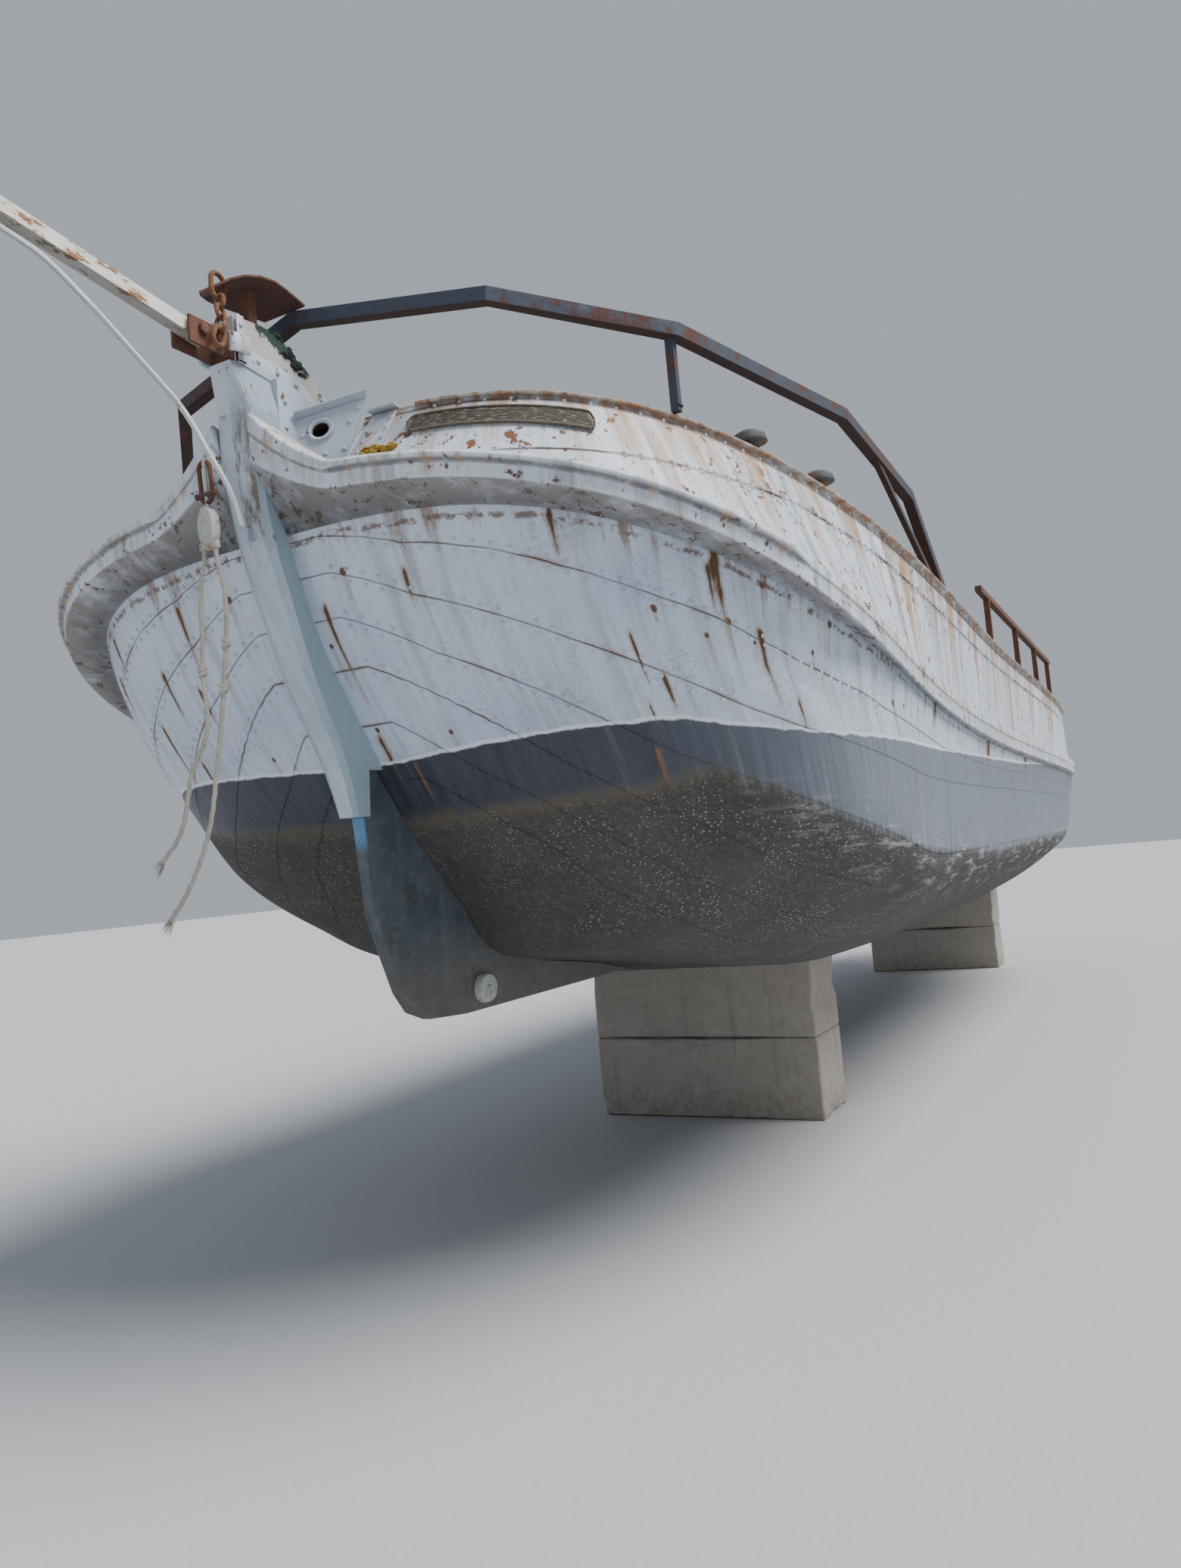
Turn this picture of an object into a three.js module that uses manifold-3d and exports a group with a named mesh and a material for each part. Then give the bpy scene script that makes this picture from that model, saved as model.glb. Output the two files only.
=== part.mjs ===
// A flat-bottomed, round-bowed steel sailing barge, laid up ashore on two stacks of concrete blocks.
// Millimetres, +X towards the bow, +Y to port, +Z up. Heights are measured from the ground.
// Places along the hull are given from the front of the stem, with aft negative.
import * as THREE from 'three';
import { mergeVertices } from 'three/addons/utils/BufferGeometryUtils.js';
import Module from 'manifold-3d';

const wasm = await Module();
wasm.setup();

// Driving dimensions of the whole boat
const SEAT = 0.4;                    // gap left where two pieces touch
const MID_GAP = 0.2;                 // half the gap between port and starboard pieces that meet
const GROUND = 0;
const BLOCK = { length: 1800, depth: 600, height: 600 };
const FLOOR_Z = 2 * BLOCK.height + SEAT;
const BOWSPRIT_TIP_X = 2000;
const RUDDER_TAIL_X = -17550;
const BOW_STEPS = 20;
const MID_STEPS = 10;
const STERN_STEPS = 14;
const LEVEL_STEPS = 2;

// Plan levels of the plating, from the flat floor up to the deck edge.
// bowX, sternX: ends on the centreline. bowZ, midZ, sternZ: heights at the ends and amidships.
// beam: half breadth. entry, run: length of the curved ends.
// n, m: fullness of the bow fore-and-aft and across; aftN, aftM: the same of the stern.
// rise, power: length over which the bow height falls away, and how sharply.
const LEVELS = {
  floor: { bowX: -2669, sternX: -14900, bowZ: 1406, midZ: FLOOR_Z, sternZ: 1300, beam: 1003,
    entry: 3468, run: 6026, n: 2.17, m: 2.36, aftN: 2.6, aftM: 2.5, rise: 1788, power: 2, lift: 600 },
  lowBilge: { bowX: -1600, sternX: -15200, bowZ: 1575, midZ: 1431, sternZ: 1733, beam: 1498,
    entry: 2927, run: 6696, n: 2.35, m: 2.71, aftN: 2.8, aftM: 2.6, rise: 2300, power: 2, lift: 6000 },
  highBilge: { bowX: -1303, sternX: -15500, bowZ: 1833, midZ: 1662, sternZ: 2026, beam: 1826,
    entry: 2395, run: 6979, n: 2.48, m: 2.98, aftN: 3, aftM: 2.7, rise: 2300, power: 2, lift: 6000 },
  lowSide: { bowX: -969, sternX: -15750, bowZ: 2162, midZ: 1860, sternZ: 2218, beam: 1975,
    entry: 2104, run: 7237, n: 2.55, m: 3.27, aftN: 3.1, aftM: 2.7, rise: 2953, power: 2, lift: 5000 },
  paintLine: { bowX: -690, sternX: -16000, bowZ: 2490, midZ: 2298, sternZ: 2501, beam: 2031,
    entry: 2149, run: 7274, n: 2.6, m: 3.31, aftN: 3.1, aftM: 2.7, rise: 3549, power: 2.2, lift: 4000 },
  topside: { bowX: -320, sternX: -16200, bowZ: 3003, midZ: 2444, sternZ: 2720, beam: 2058,
    entry: 2351, run: 7435, n: 2.59, m: 3.16, aftN: 3.1, aftM: 2.7, rise: 6019, power: 3.2, lift: 4000 },
  waleLow: { bowX: -130, sternX: -16400, bowZ: 3450, midZ: 2563, sternZ: 2969, beam: 2075,
    entry: 2589, run: 7720, n: 2.6, m: 3.13, aftN: 3.1, aftM: 2.7, rise: 12200, power: 6.5, lift: 5000 },
  deckEdge: { bowX: -130, sternX: -16400, bowZ: 3590, midZ: 2720, sternZ: 3110, beam: 2075,
    entry: 2589, run: 7720, n: 2.6, m: 3.13, aftN: 3.1, aftM: 2.7, rise: 12200, power: 6.5, lift: 5000 },
};
const WALE_FACE = { ...LEVELS.waleLow, bowX: 58, sternX: -16460, bowZ: 3508, midZ: 2583, sternZ: 2970,
  beam: 2115, entry: 2599, run: 7900, n: 3.32, m: 2.81, rise: 13240, power: 7.8 };
const CAP_LINE = { ...LEVELS.waleLow, bowX: -433, sternX: -16230, bowZ: 3997, midZ: 3382, sternZ: 3703,
  beam: 2080, entry: 4594, run: 8187, n: 3, m: 3.25, aftN: 2.9, rise: 6652, power: 2.57 };

// A point of one level at a station: 0..1 round the bow, 1..2 along the side, 2..3 round the stern
function levelHeight(level, x) {
  const ahead = 1 - (level.bowX - x) / level.rise;
  const astern = 1 - (x - level.sternX) / level.lift;
  const bowRise = (level.bowZ - level.midZ) * Math.max(0, ahead) ** level.power;
  return level.midZ + bowRise + (level.sternZ - level.midZ) * Math.max(0, astern) ** 2;
}

function levelPoint(level, station) {
  const foreEnd = level.bowX - level.entry;
  const aftEnd = level.sternX + level.run;
  const turn = Math.PI / 2 * (station <= 1 ? station : station >= 2 ? 3 - station : 1);
  const [n, m] = station <= 1.5 ? [level.n, level.m] : [level.aftN, level.aftM];
  const reach = 1 - Math.max(0, Math.cos(turn)) ** (2 / n);
  const y = level.beam * Math.sin(turn) ** (2 / m);
  let x = foreEnd + (aftEnd - foreEnd) * (station - 1);
  if (station < 1) x = level.bowX - level.entry * reach;
  if (station > 2) x = level.sternX + level.run * reach;
  return new THREE.Vector3(x, station === 0 || station === 3 ? 0 : y, levelHeight(level, x));
}

// Stations lie closer together at the stem, at the shoulders and at the sternpost
const STATIONS = [];
for (let i = 0; i <= BOW_STEPS; i++) STATIONS.push((i / BOW_STEPS) ** 1.5);
for (let i = 1; i <= MID_STEPS; i++) STATIONS.push(1 + (i / MID_STEPS) ** 1.6);
for (let i = 1; i <= STERN_STEPS; i++) STATIONS.push(3 - (1 - i / STERN_STEPS) ** 1.3);

function levelCurve(level) {
  return STATIONS.map((station) => levelPoint(level, station));
}

// Cuts a port-side curve off where it comes within the given distances of the centreline
function clipCurve(curve, foreY, aftY) {
  const first = curve[0].clone().lerp(curve[1], (foreY - curve[0].y) / (curve[1].y - curve[0].y));
  const [last, before] = [curve[curve.length - 1], curve[curve.length - 2]];
  const end = last.clone().lerp(before, (aftY - last.y) / (before.y - last.y));
  return [first, ...curve.slice(1, -1).map((point) => point.clone()), end];
}

// Moves a curve outwards, level, by the same distance all along
function offsetCurve(curve, distance) {
  return curve.map((point, i) => {
    const back = curve[Math.max(0, i - 1)];
    const next = curve[Math.min(curve.length - 1, i + 1)];
    const inDir = new THREE.Vector2(point.x - back.x, point.y - back.y);
    const outDir = new THREE.Vector2(next.x - point.x, next.y - point.y);
    if (i === 0) inDir.copy(outDir);
    if (i === curve.length - 1) outDir.copy(inDir);
    const inNormal = new THREE.Vector2(inDir.y, -inDir.x).normalize();
    const outNormal = new THREE.Vector2(outDir.y, -outDir.x).normalize();
    const middle = inNormal.add(outNormal).normalize();
    const scale = distance / Math.max(0.5, middle.dot(outNormal));
    const [x, y] = [point.x + middle.x * scale, point.y + middle.y * scale];
    return new THREE.Vector3(x, i === 0 ? point.y : Math.max(y, MID_GAP), point.z);
  });
}

// The place nearest to a point where a curve crosses the level line through it along a direction
function crossing(from, direction, curve) {
  const places = [];
  const side = (p) => (p.x - from.x) * direction.y - (p.y - from.y) * direction.x;
  for (let k = 0; k + 1 < curve.length; k++) {
    const [a, b] = [side(curve[k]), side(curve[k + 1])];
    if (a * b <= 0 && a !== b) places.push(curve[k].clone().lerp(curve[k + 1], a / (a - b)));
  }
  const reach = (p) => Math.hypot(p.x - from.x, p.y - from.y);
  return places.sort((p, q) => reach(p) - reach(q))[0];
}

// Closed bodies out of rings of points
function geometryFrom(points, faces) {
  const positions = faces.flatMap((face) => face.flatMap((index) => points[index].toArray()));
  const geometry = new THREE.BufferGeometry();
  geometry.setAttribute('position', new THREE.Float32BufferAttribute(positions, 3));
  return outward(geometry);
}

function outward(geometry) {
  const p = geometry.attributes.position;
  const [a, b, c] = [new THREE.Vector3(), new THREE.Vector3(), new THREE.Vector3()];
  let volume = 0;
  for (let i = 0; i < p.count; i += 3) {
    a.fromBufferAttribute(p, i);
    b.fromBufferAttribute(p, i + 1);
    c.fromBufferAttribute(p, i + 2);
    volume += a.dot(b.cross(c));
  }
  if (volume < 0) {
    for (let i = 0; i < p.count; i += 3) {
      b.fromBufferAttribute(p, i + 1);
      c.fromBufferAttribute(p, i + 2);
      p.setXYZ(i + 1, c.x, c.y, c.z);
      p.setXYZ(i + 2, b.x, b.y, b.z);
    }
  }
  geometry.computeVertexNormals();
  return geometry;
}

function sweptSolid(rings) {
  const size = rings[0].length;
  const points = rings.flat();
  const faces = [];
  for (let r = 0; r + 1 < rings.length; r++) {
    for (let i = 0; i < size; i++) {
      const j = (i + 1) % size;
      const [a, b, c, d] = [r * size + i, r * size + j, (r + 1) * size + j, (r + 1) * size + i];
      faces.push([a, b, c], [a, c, d]);
    }
  }
  faces.push(...endFaces(rings[0], 0, false));
  faces.push(...endFaces(rings[rings.length - 1], (rings.length - 1) * size, true));
  return geometryFrom(points, faces);
}

function endFaces(ring, start, flip) {
  const normal = new THREE.Vector3();
  ring.forEach((point, i) => normal.add(point.clone().cross(ring[(i + 1) % ring.length])));
  const side = Math.abs(normal.z) > 0.7 * normal.length() ? new THREE.Vector3(1, 0, 0)
    : new THREE.Vector3(0, 0, 1).cross(normal).normalize();
  const up = normal.clone().normalize().cross(side);
  const flat = ring.map((point) => new THREE.Vector2(point.dot(side), point.dot(up)));
  const turnsBack = THREE.ShapeUtils.area(flat) < 0;
  return THREE.ShapeUtils.triangulateShape(flat, []).map(([a, b, c]) => {
    const keep = turnsBack === flip;
    return keep ? [start + a, start + c, start + b] : [start + a, start + b, start + c];
  });
}

function mirrored(geometry) {
  const copy = geometry.clone();
  copy.scale(1, -1, 1);
  return outward(copy.index ? copy.toNonIndexed() : copy);
}

// Joining and cutting
function solid(geometry) {
  const bare = new THREE.BufferGeometry();
  bare.setAttribute('position', geometry.attributes.position.clone());
  if (geometry.index) bare.setIndex(geometry.index.clone());
  const merged = mergeVertices(bare, 1e-4);
  return new wasm.Manifold(new wasm.Mesh({
    numProp: 3,
    vertProperties: new Float32Array(merged.attributes.position.array),
    triVerts: new Uint32Array(merged.index.array),
  }));
}

function surface(manifold) {
  const { vertProperties, triVerts } = manifold.getMesh();
  const geometry = new THREE.BufferGeometry();
  geometry.setAttribute('position', new THREE.BufferAttribute(vertProperties, 3));
  geometry.setIndex(new THREE.BufferAttribute(triVerts, 1));
  const flat = geometry.toNonIndexed();
  flat.computeVertexNormals();
  return flat;
}

function joined(...geometries) {
  return surface(geometries.map(solid).reduce((whole, piece) => whole.add(piece)));
}

function cut(geometry, ...cutters) {
  return surface(cutters.map(solid).reduce((whole, piece) => whole.subtract(piece), solid(geometry)));
}

// What is left of a piece above the bulwark, once the scraps under it are dropped
function largestBody(geometry) {
  const bodies = solid(geometry).decompose();
  return surface(bodies.sort((a, b) => b.volume() - a.volume())[0]);
}

// Simple shapes
function box(x0, x1, y0, y1, z0, z1) {
  const geometry = new THREE.BoxGeometry(Math.abs(x1 - x0), Math.abs(y1 - y0), Math.abs(z1 - z0));
  return geometry.translate((x0 + x1) / 2, (y0 + y1) / 2, (z0 + z1) / 2);
}

// A side-view outline of [x, z] points, given a thickness across the boat about y
function sidePlate(outline, thickness, y = 0) {
  const shape = new THREE.Shape(outline.map(([x, z]) => new THREE.Vector2(x, z)));
  const geometry = new THREE.ExtrudeGeometry(shape, { depth: thickness, bevelEnabled: false });
  return geometry.rotateX(Math.PI / 2).translate(0, y + thickness / 2, 0);
}

// A plan-view outline of [x, y] points between two heights
function deckPlate(outline, z0, z1) {
  const shape = new THREE.Shape(outline.map(([x, y]) => new THREE.Vector2(x, y)));
  const geometry = new THREE.ExtrudeGeometry(shape, { depth: z1 - z0, bevelEnabled: false });
  return geometry.translate(0, 0, z0);
}

// A round bar from one point to another
function rod(from, to, radius, sides = 12) {
  const [a, b] = [new THREE.Vector3(...from), new THREE.Vector3(...to)];
  const geometry = new THREE.CylinderGeometry(radius, radius, a.distanceTo(b), sides);
  const turn = new THREE.Quaternion().setFromUnitVectors(
    new THREE.Vector3(0, 1, 0), b.clone().sub(a).normalize());
  return geometry.applyQuaternion(turn).translate(...a.add(b).multiplyScalar(0.5).toArray());
}

// A square bar through a run of points, upright on its path
function squareBar(points, width, height) {
  const path = points.map((point) => new THREE.Vector3(...point));
  const rings = path.map((point, i) => {
    const before = path[Math.max(0, i - 1)];
    const after = path[Math.min(path.length - 1, i + 1)];
    const along = after.clone().sub(before).normalize();
    const across = new THREE.Vector3(-along.y, along.x, 0).normalize();
    const up = along.clone().cross(across).negate().normalize();
    if (up.z < 0) up.negate();
    return [[-1, -1], [1, -1], [1, 1], [-1, 1]].map(([u, v]) =>
      point.clone().addScaledVector(across, u * width / 2).addScaledVector(up, v * height / 2));
  });
  return sweptSolid(rings);
}

// A round tube along a smooth curve through the given points
function bentTube(points, radius, sides, steps) {
  const section = new THREE.Shape();
  section.absarc(0, 0, radius, 0, Math.PI * 2);
  const path = new THREE.CatmullRomCurve3(points.map((point) => new THREE.Vector3(...point)));
  return new THREE.ExtrudeGeometry(section, {
    extrudePath: path, steps, curveSegments: sides / 2, bevelEnabled: false,
  });
}

const model = new THREE.Group();

function add(name, geometry, material) {
  const mesh = new THREE.Mesh(geometry, material);
  mesh.name = name;
  model.add(mesh);
  return mesh;
}

const finish = (color, roughness, metalness) =>
  new THREE.MeshStandardMaterial({ color, roughness, metalness });
const WHITE_PAINT = finish(0xcdd3dc, 0.55, 0.1);
const HULL_PAINT = finish(0xbcc3d0, 0.6, 0.1);
const FIN_PAINT = finish(0x33505f, 0.75, 0.1);
const RAIL_PAINT = finish(0x3c4658, 0.6, 0.3);
const RUST = finish(0x6e3b2c, 0.85, 0.4);
const CONCRETE = finish(0xa59c90, 0.95, 0);
const WOOD = finish(0x6d5f50, 0.85, 0);
const DECK_PAINT = finish(0x7d8a86, 0.8, 0);
const ROPE = finish(0xb9b2a3, 0.95, 0);
const ZINC = finish(0x9fa79c, 0.7, 0.4);
const BRONZE = finish(0x8a6a38, 0.5, 0.8);
const GALVANISED = finish(0x8b8f92, 0.5, 0.6);

// Hull plating: one watertight body from the flat floor to the deck
const levelCurves = Object.values(LEVELS).map(levelCurve);
const portLines = [];
for (let k = 0; k + 1 < levelCurves.length; k++) {
  const steps = k + 2 < levelCurves.length ? LEVEL_STEPS : 1;
  for (let step = 0; step < steps; step++) portLines.push(betweenLevels(k, step / steps));
}
portLines.push(levelCurves[levelCurves.length - 1]);

// A line of the plating between one level and the next, on a smooth curve through all the levels
function betweenLevels(k, share) {
  const last = levelCurves.length - 1;
  return levelCurves[k].map((point, i) => {
    const next = levelCurves[k + 1][i];
    const before = k > 0 ? levelCurves[k - 1][i] : point.clone().multiplyScalar(2).sub(next);
    const after = k + 1 < last ? levelCurves[k + 2][i] : next.clone().multiplyScalar(2).sub(point);
    return new THREE.CatmullRomCurve3([before, point, next, after], false, 'catmullrom', 0.5)
      .getPoint((1 + share) / 3);
  });
}
const hullRings = portLines.map((port) => {
  const starboard = port.slice(1, -1).reverse().map((point) => new THREE.Vector3(point.x, -point.y, point.z));
  return [...port, ...starboard];
});

function hullSolid() {
  const size = hullRings[0].length;
  const last = STATIONS.length - 1;
  const points = hullRings.flat();
  const faces = [];
  for (let r = 0; r + 1 < hullRings.length; r++) {
    for (let i = 0; i < size; i++) {
      const j = (i + 1) % size;
      const [a, b, c, d] = [r * size + i, r * size + j, (r + 1) * size + j, (r + 1) * size + i];
      if (i < last) faces.push([a, b, c], [a, c, d]);
      else faces.push([a, b, d], [b, c, d]);
    }
  }
  for (const [start, flip] of [[0, false], [(hullRings.length - 1) * size, true]]) {
    for (let i = 0; i < last; i++) {
      const port = [start + i, start + i + 1];
      const starboard = [start + (size - i) % size, start + (size - i - 1) % size];
      const pair = [];
      if (i < last - 1) pair.push([port[0], starboard[1], port[1]]);
      if (i > 0) pair.push([port[0], starboard[0], starboard[1]]);
      if (i === last - 1) pair.splice(0, pair.length, [port[0], starboard[0], port[1]]);
      for (const face of pair) faces.push(flip ? face.reverse() : face);
    }
  }
  return geometryFrom(points, faces);
}
const hull = hullSolid();
add('hull', hull, HULL_PAINT);

// The deck's height above any place on the centreline, and a body that fills all below it
const deckLine = levelCurve(LEVELS.deckEdge);
function deckZ(x) {
  for (let i = 0; i + 1 < deckLine.length; i++) {
    const [fore, aft] = [deckLine[i], deckLine[i + 1]];
    if (x <= fore.x && x >= aft.x) return fore.z + (aft.z - fore.z) * (fore.x - x) / (fore.x - aft.x);
  }
  return x > deckLine[0].x ? deckLine[0].z : deckLine[deckLine.length - 1].z;
}
const BELOW_DECK_Z = 2000;
const deckOutline = deckLine.map((point) => [point.x, point.z + SEAT]);
const belowDeck = sidePlate([
  [300, BELOW_DECK_Z], [300, deckOutline[0][1]], ...deckOutline,
  [-17000, deckOutline[deckOutline.length - 1][1]], [-17000, BELOW_DECK_Z]], 6000);
const seatedOnDeck = (...geometries) => cut(joined(...geometries), belowDeck);

// Heavy rubbing strake along the deck edge. It sweeps up against the stem in a curved knee,
// and a half-round bead runs along it round the bow.
const STEM_SIDE = 100;
const WALE = { height: 107, midHeight: 156, bead: 30, beadStartY: 480, beadEndX: -950 };
const KNEE = { low: 185, top: 270, length: 400, swellLow: 15, swellTop: 38, swellLength: 1100 };
const waleInner = offsetCurve(clipCurve(levelCurve(LEVELS.waleLow), STEM_SIDE + SEAT, MID_GAP), SEAT);
const waleTop = clipCurve(deckLine, STEM_SIDE + SEAT, MID_GAP);
const waleOuter = clipCurve(levelCurve(WALE_FACE), STEM_SIDE + SEAT, MID_GAP);

function waleSection(i) {
  const [inner, outer] = [waleInner[i], waleOuter[i]];
  const knee = Math.max(0, 1 - (outer.y - STEM_SIDE) / KNEE.length) ** 1.5 * (outer.x > -1000 ? 1 : 0);
  const swell = Math.max(0, 1 - (outer.y - STEM_SIDE) / KNEE.swellLength) * (outer.x > -1500 ? 1 : 0);
  const bow = (outer.z - WALE_FACE.midZ) / (WALE_FACE.bowZ - WALE_FACE.midZ);
  const low = outer.z + KNEE.low * knee + KNEE.swellLow * swell;
  const high = outer.z + WALE.midHeight + (WALE.height - WALE.midHeight) * Math.min(1, Math.max(0, bow))
    + KNEE.top * knee + KNEE.swellTop * swell;
  const beaded = outer.x > WALE.beadEndX && outer.y > WALE.beadStartY;
  const out = offsetCurve(waleOuter, beaded ? WALE.bead : 4)[i];
  const at = (point, share) => new THREE.Vector3(point.x, point.y, low + share * (high - low));
  const innerTop = waleTop[i].z - 2 + 0.9 * (KNEE.top * knee + KNEE.swellTop * swell);
  return [inner.clone(), at(outer, 0), at(outer, 0.55), at(out, 0.66), at(out, 0.86),
    at(outer, 0.97), new THREE.Vector3(inner.x, inner.y, innerTop)];
}
const wale = sweptSolid(waleInner.map((_, i) => waleSection(i)));
add('wale_port', wale, WHITE_PAINT);
add('wale_starboard', mirrored(wale), WHITE_PAINT);

// Bulwark leaning inwards from the deck edge to a flat cap, open at the stem
const BULWARK = { start: 2, inset: 12, plate: 22, capThick: 14, capOut: 28, capIn: 120, capStart: 4 };
const bulwarkBase = offsetCurve(clipCurve(deckLine, STEM_SIDE + SEAT, MID_GAP), -BULWARK.inset);
const capLine = clipCurve(levelCurve(CAP_LINE), STEM_SIDE + SEAT, MID_GAP);
const bulwarkFoot = offsetCurve(bulwarkBase, -BULWARK.plate);
const outNormals = offsetCurve(bulwarkBase, 1).map((point, i) => point.sub(bulwarkBase[i]).setZ(0));
const bulwarkTop = bulwarkBase.map((point, i) => {
  if (i === 0 || i === bulwarkBase.length - 1) return capLine[i];
  return crossing(point, outNormals[i], capLine);
});
bulwarkBase.forEach((point) => { point.z = deckZ(point.x) + SEAT; });
bulwarkFoot.forEach((point) => { point.z = deckZ(point.x) + SEAT; });

// A place on the bulwark: station, share of the height, distance outside its plating
function onBulwark(station, share, out) {
  const next = STATIONS.findIndex((value) => value > station);
  const i = next < 0 ? bulwarkBase.length - 2 : next - 1;
  const part = (station - STATIONS[i]) / (STATIONS[i + 1] - STATIONS[i]);
  const ruling = (k) => bulwarkBase[k].clone()
    .lerp(bulwarkTop[k].clone().setZ(bulwarkTop[k].z - BULWARK.capThick), share)
    .addScaledVector(outNormals[k], out);
  return ruling(i).lerp(ruling(i + 1), part);
}

const BULWARK_SHARES = [0, 0.22, 0.45, 0.6, 0.88, 1];
function bulwarkSection(i) {
  const overhang = i < BULWARK.capStart ? 0 : BULWARK.capOut;
  const edge = (out, lift) => onBulwark(STATIONS[i], 1, out).add(new THREE.Vector3(0, 0, lift));
  return [...BULWARK_SHARES.map((share) => onBulwark(STATIONS[i], share, 0)),
    edge(overhang, 0.5), edge(overhang, BULWARK.capThick), edge(-BULWARK.capIn, BULWARK.capThick),
    edge(-BULWARK.capIn, 0), edge(-BULWARK.plate, 0), bulwarkFoot[i].clone()];
}
const bulwarkRings = bulwarkBase.map((_, i) => bulwarkSection(i)).slice(BULWARK.start);
const bulwark = cut(sweptSolid(bulwarkRings), box(-17000, -16000, -300, MID_GAP, 2500, 4500));
const capSeat = bulwark.clone().translate(0, 0, SEAT);
const standingOnCap = (geometry, ...cutters) => largestBody(cut(geometry, capSeat, ...cutters));
add('bulwark_port', bulwark, WHITE_PAINT);
add('bulwark_starboard', mirrored(bulwark), WHITE_PAINT);

// Name board on the outside of the bulwark
const NAMEBOARD = { low: 0.62, high: 0.86, gap: 1.5, thick: 22, start: STATIONS[4], end: 0.382 };
const boardStations = STATIONS.filter((value) => value >= NAMEBOARD.start && value < NAMEBOARD.end);
boardStations.push(NAMEBOARD.end);
const nameboard = sweptSolid(boardStations.map((station) => {
  const place = (share, out) => onBulwark(station, share, NAMEBOARD.gap + out);
  return [place(NAMEBOARD.low, 0), place(NAMEBOARD.high, 0), place(NAMEBOARD.high, NAMEBOARD.thick),
    place(NAMEBOARD.low, NAMEBOARD.thick)];
}));
add('nameboard_port', nameboard, WOOD);
add('nameboard_starboard', mirrored(nameboard), WOOD);

// Fairlead plate that closes the bulwark towards the stem, with an oval hole for a mooring line
const HAWSE = { x: -268, y: 226, z: 3916, halfWidth: 55, halfHeight: 30, thick: 24 };
const hawseCorners = { inLow: [-215, STEM_SIDE + SEAT, 3600], outLow: [-50, 318, 3600],
  outHigh: [-420, 350, 4065], inHigh: [-235, STEM_SIDE + SEAT, 3970] };
const hawseFront = Object.values(hawseCorners).map((corner) => new THREE.Vector3(...corner));
const hawseNormal = hawseFront[1].clone().sub(hawseFront[0])
  .cross(hawseFront[2].clone().sub(hawseFront[0])).normalize();
if (hawseNormal.x < 0) hawseNormal.negate();
const hawseHole = new THREE.CylinderGeometry(1, 1, 300, 20)
  .scale(HAWSE.halfWidth, 1, HAWSE.halfHeight)
  .rotateZ(Math.PI / 2).rotateX(Math.PI / 2).rotateZ(Math.atan2(hawseNormal.y, hawseNormal.x))
  .translate(HAWSE.x, HAWSE.y, HAWSE.z);
const hawseBack = hawseFront.map((point) => point.clone().addScaledVector(hawseNormal, -HAWSE.thick));
const hawsePlate = largestBody(cut(sweptSolid([hawseFront, hawseBack]), hawseHole,
  wale.clone().translate(0, 0, SEAT), wale.clone().translate(-SEAT, 0, 0),
  bulwark.clone().translate(SEAT, 0, 0), bulwark.clone().translate(0, 0, SEAT), belowDeck));
add('hawse_plate_port', hawsePlate, WHITE_PAINT);
add('hawse_plate_starboard', mirrored(hawsePlate), WHITE_PAINT);

// Stem bar: height, its front, half its width, and half the width of its narrower nose.
// Its back follows the plating.
const STEM = { bevel: 18, footBack: -585, footTop: 2500, lug: 4, headX: -110 };
const STEM_ROWS = [
  { z: 2290, front: -490, half: 55, nose: 35 },
  { z: 2400, front: -460, half: 62, nose: 38 },
  { z: STEM.footTop - 1, front: -426, half: 68, nose: 40 },
  { z: STEM.footTop, front: -426, half: 68, nose: 40 },
  { z: 2620, front: -370, half: 76, nose: 45 },
  { z: 2750, front: -298, half: 82, nose: 48 },
  { z: 2880, front: -230, half: 86, nose: 50 },
  { z: 3030, front: -172, half: 90, nose: 54 },
  { z: 3200, front: -112, half: 93, nose: 58 },
  { z: 3340, front: -58, half: 96, nose: 64 },
  { z: 3500, front: -15, half: 98, nose: 72 },
  { z: 3620, front: 6, half: STEM_SIDE, nose: 80 },
  { z: 3700, front: 26, half: STEM_SIDE, nose: 86 },
  { z: 3950, front: 26, half: STEM_SIDE, nose: 88 },
  { z: 4135, front: 90, half: 60, nose: 56 },
];
const bowProfile = portLines.map((line) => line[0]);
function bowProfileX(z) {
  const k = bowProfile.findIndex((point) => point.z > z);
  const [low, high] = [bowProfile[k - 1], bowProfile[k]];
  return low.x + (high.x - low.x) * (z - low.z) / (high.z - low.z);
}
function stemBack(z) {
  if (z < STEM.footTop) return STEM.footBack;
  return z < LEVELS.waleLow.bowZ ? bowProfileX(z) - 60 : LEVELS.deckEdge.bowX + SEAT;
}
const stemRings = STEM_ROWS.map(({ z, front, half, nose }) => {
  const [side, back] = [front - STEM.bevel, stemBack(z)];
  return [[front, -nose], [front, nose], [side, half], [back, half], [back, -half], [side, -half]]
    .map(([x, y]) => new THREE.Vector3(x, y, z));
});
const hullAhead = hull.clone().translate(1.5 * SEAT, 0, 0);
add('stem', largestBody(cut(joined(sweptSolid(stemRings), box(-80, STEM.lug, -8, 8, 3425, 3475)), hullAhead)),
  WHITE_PAINT);

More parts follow.
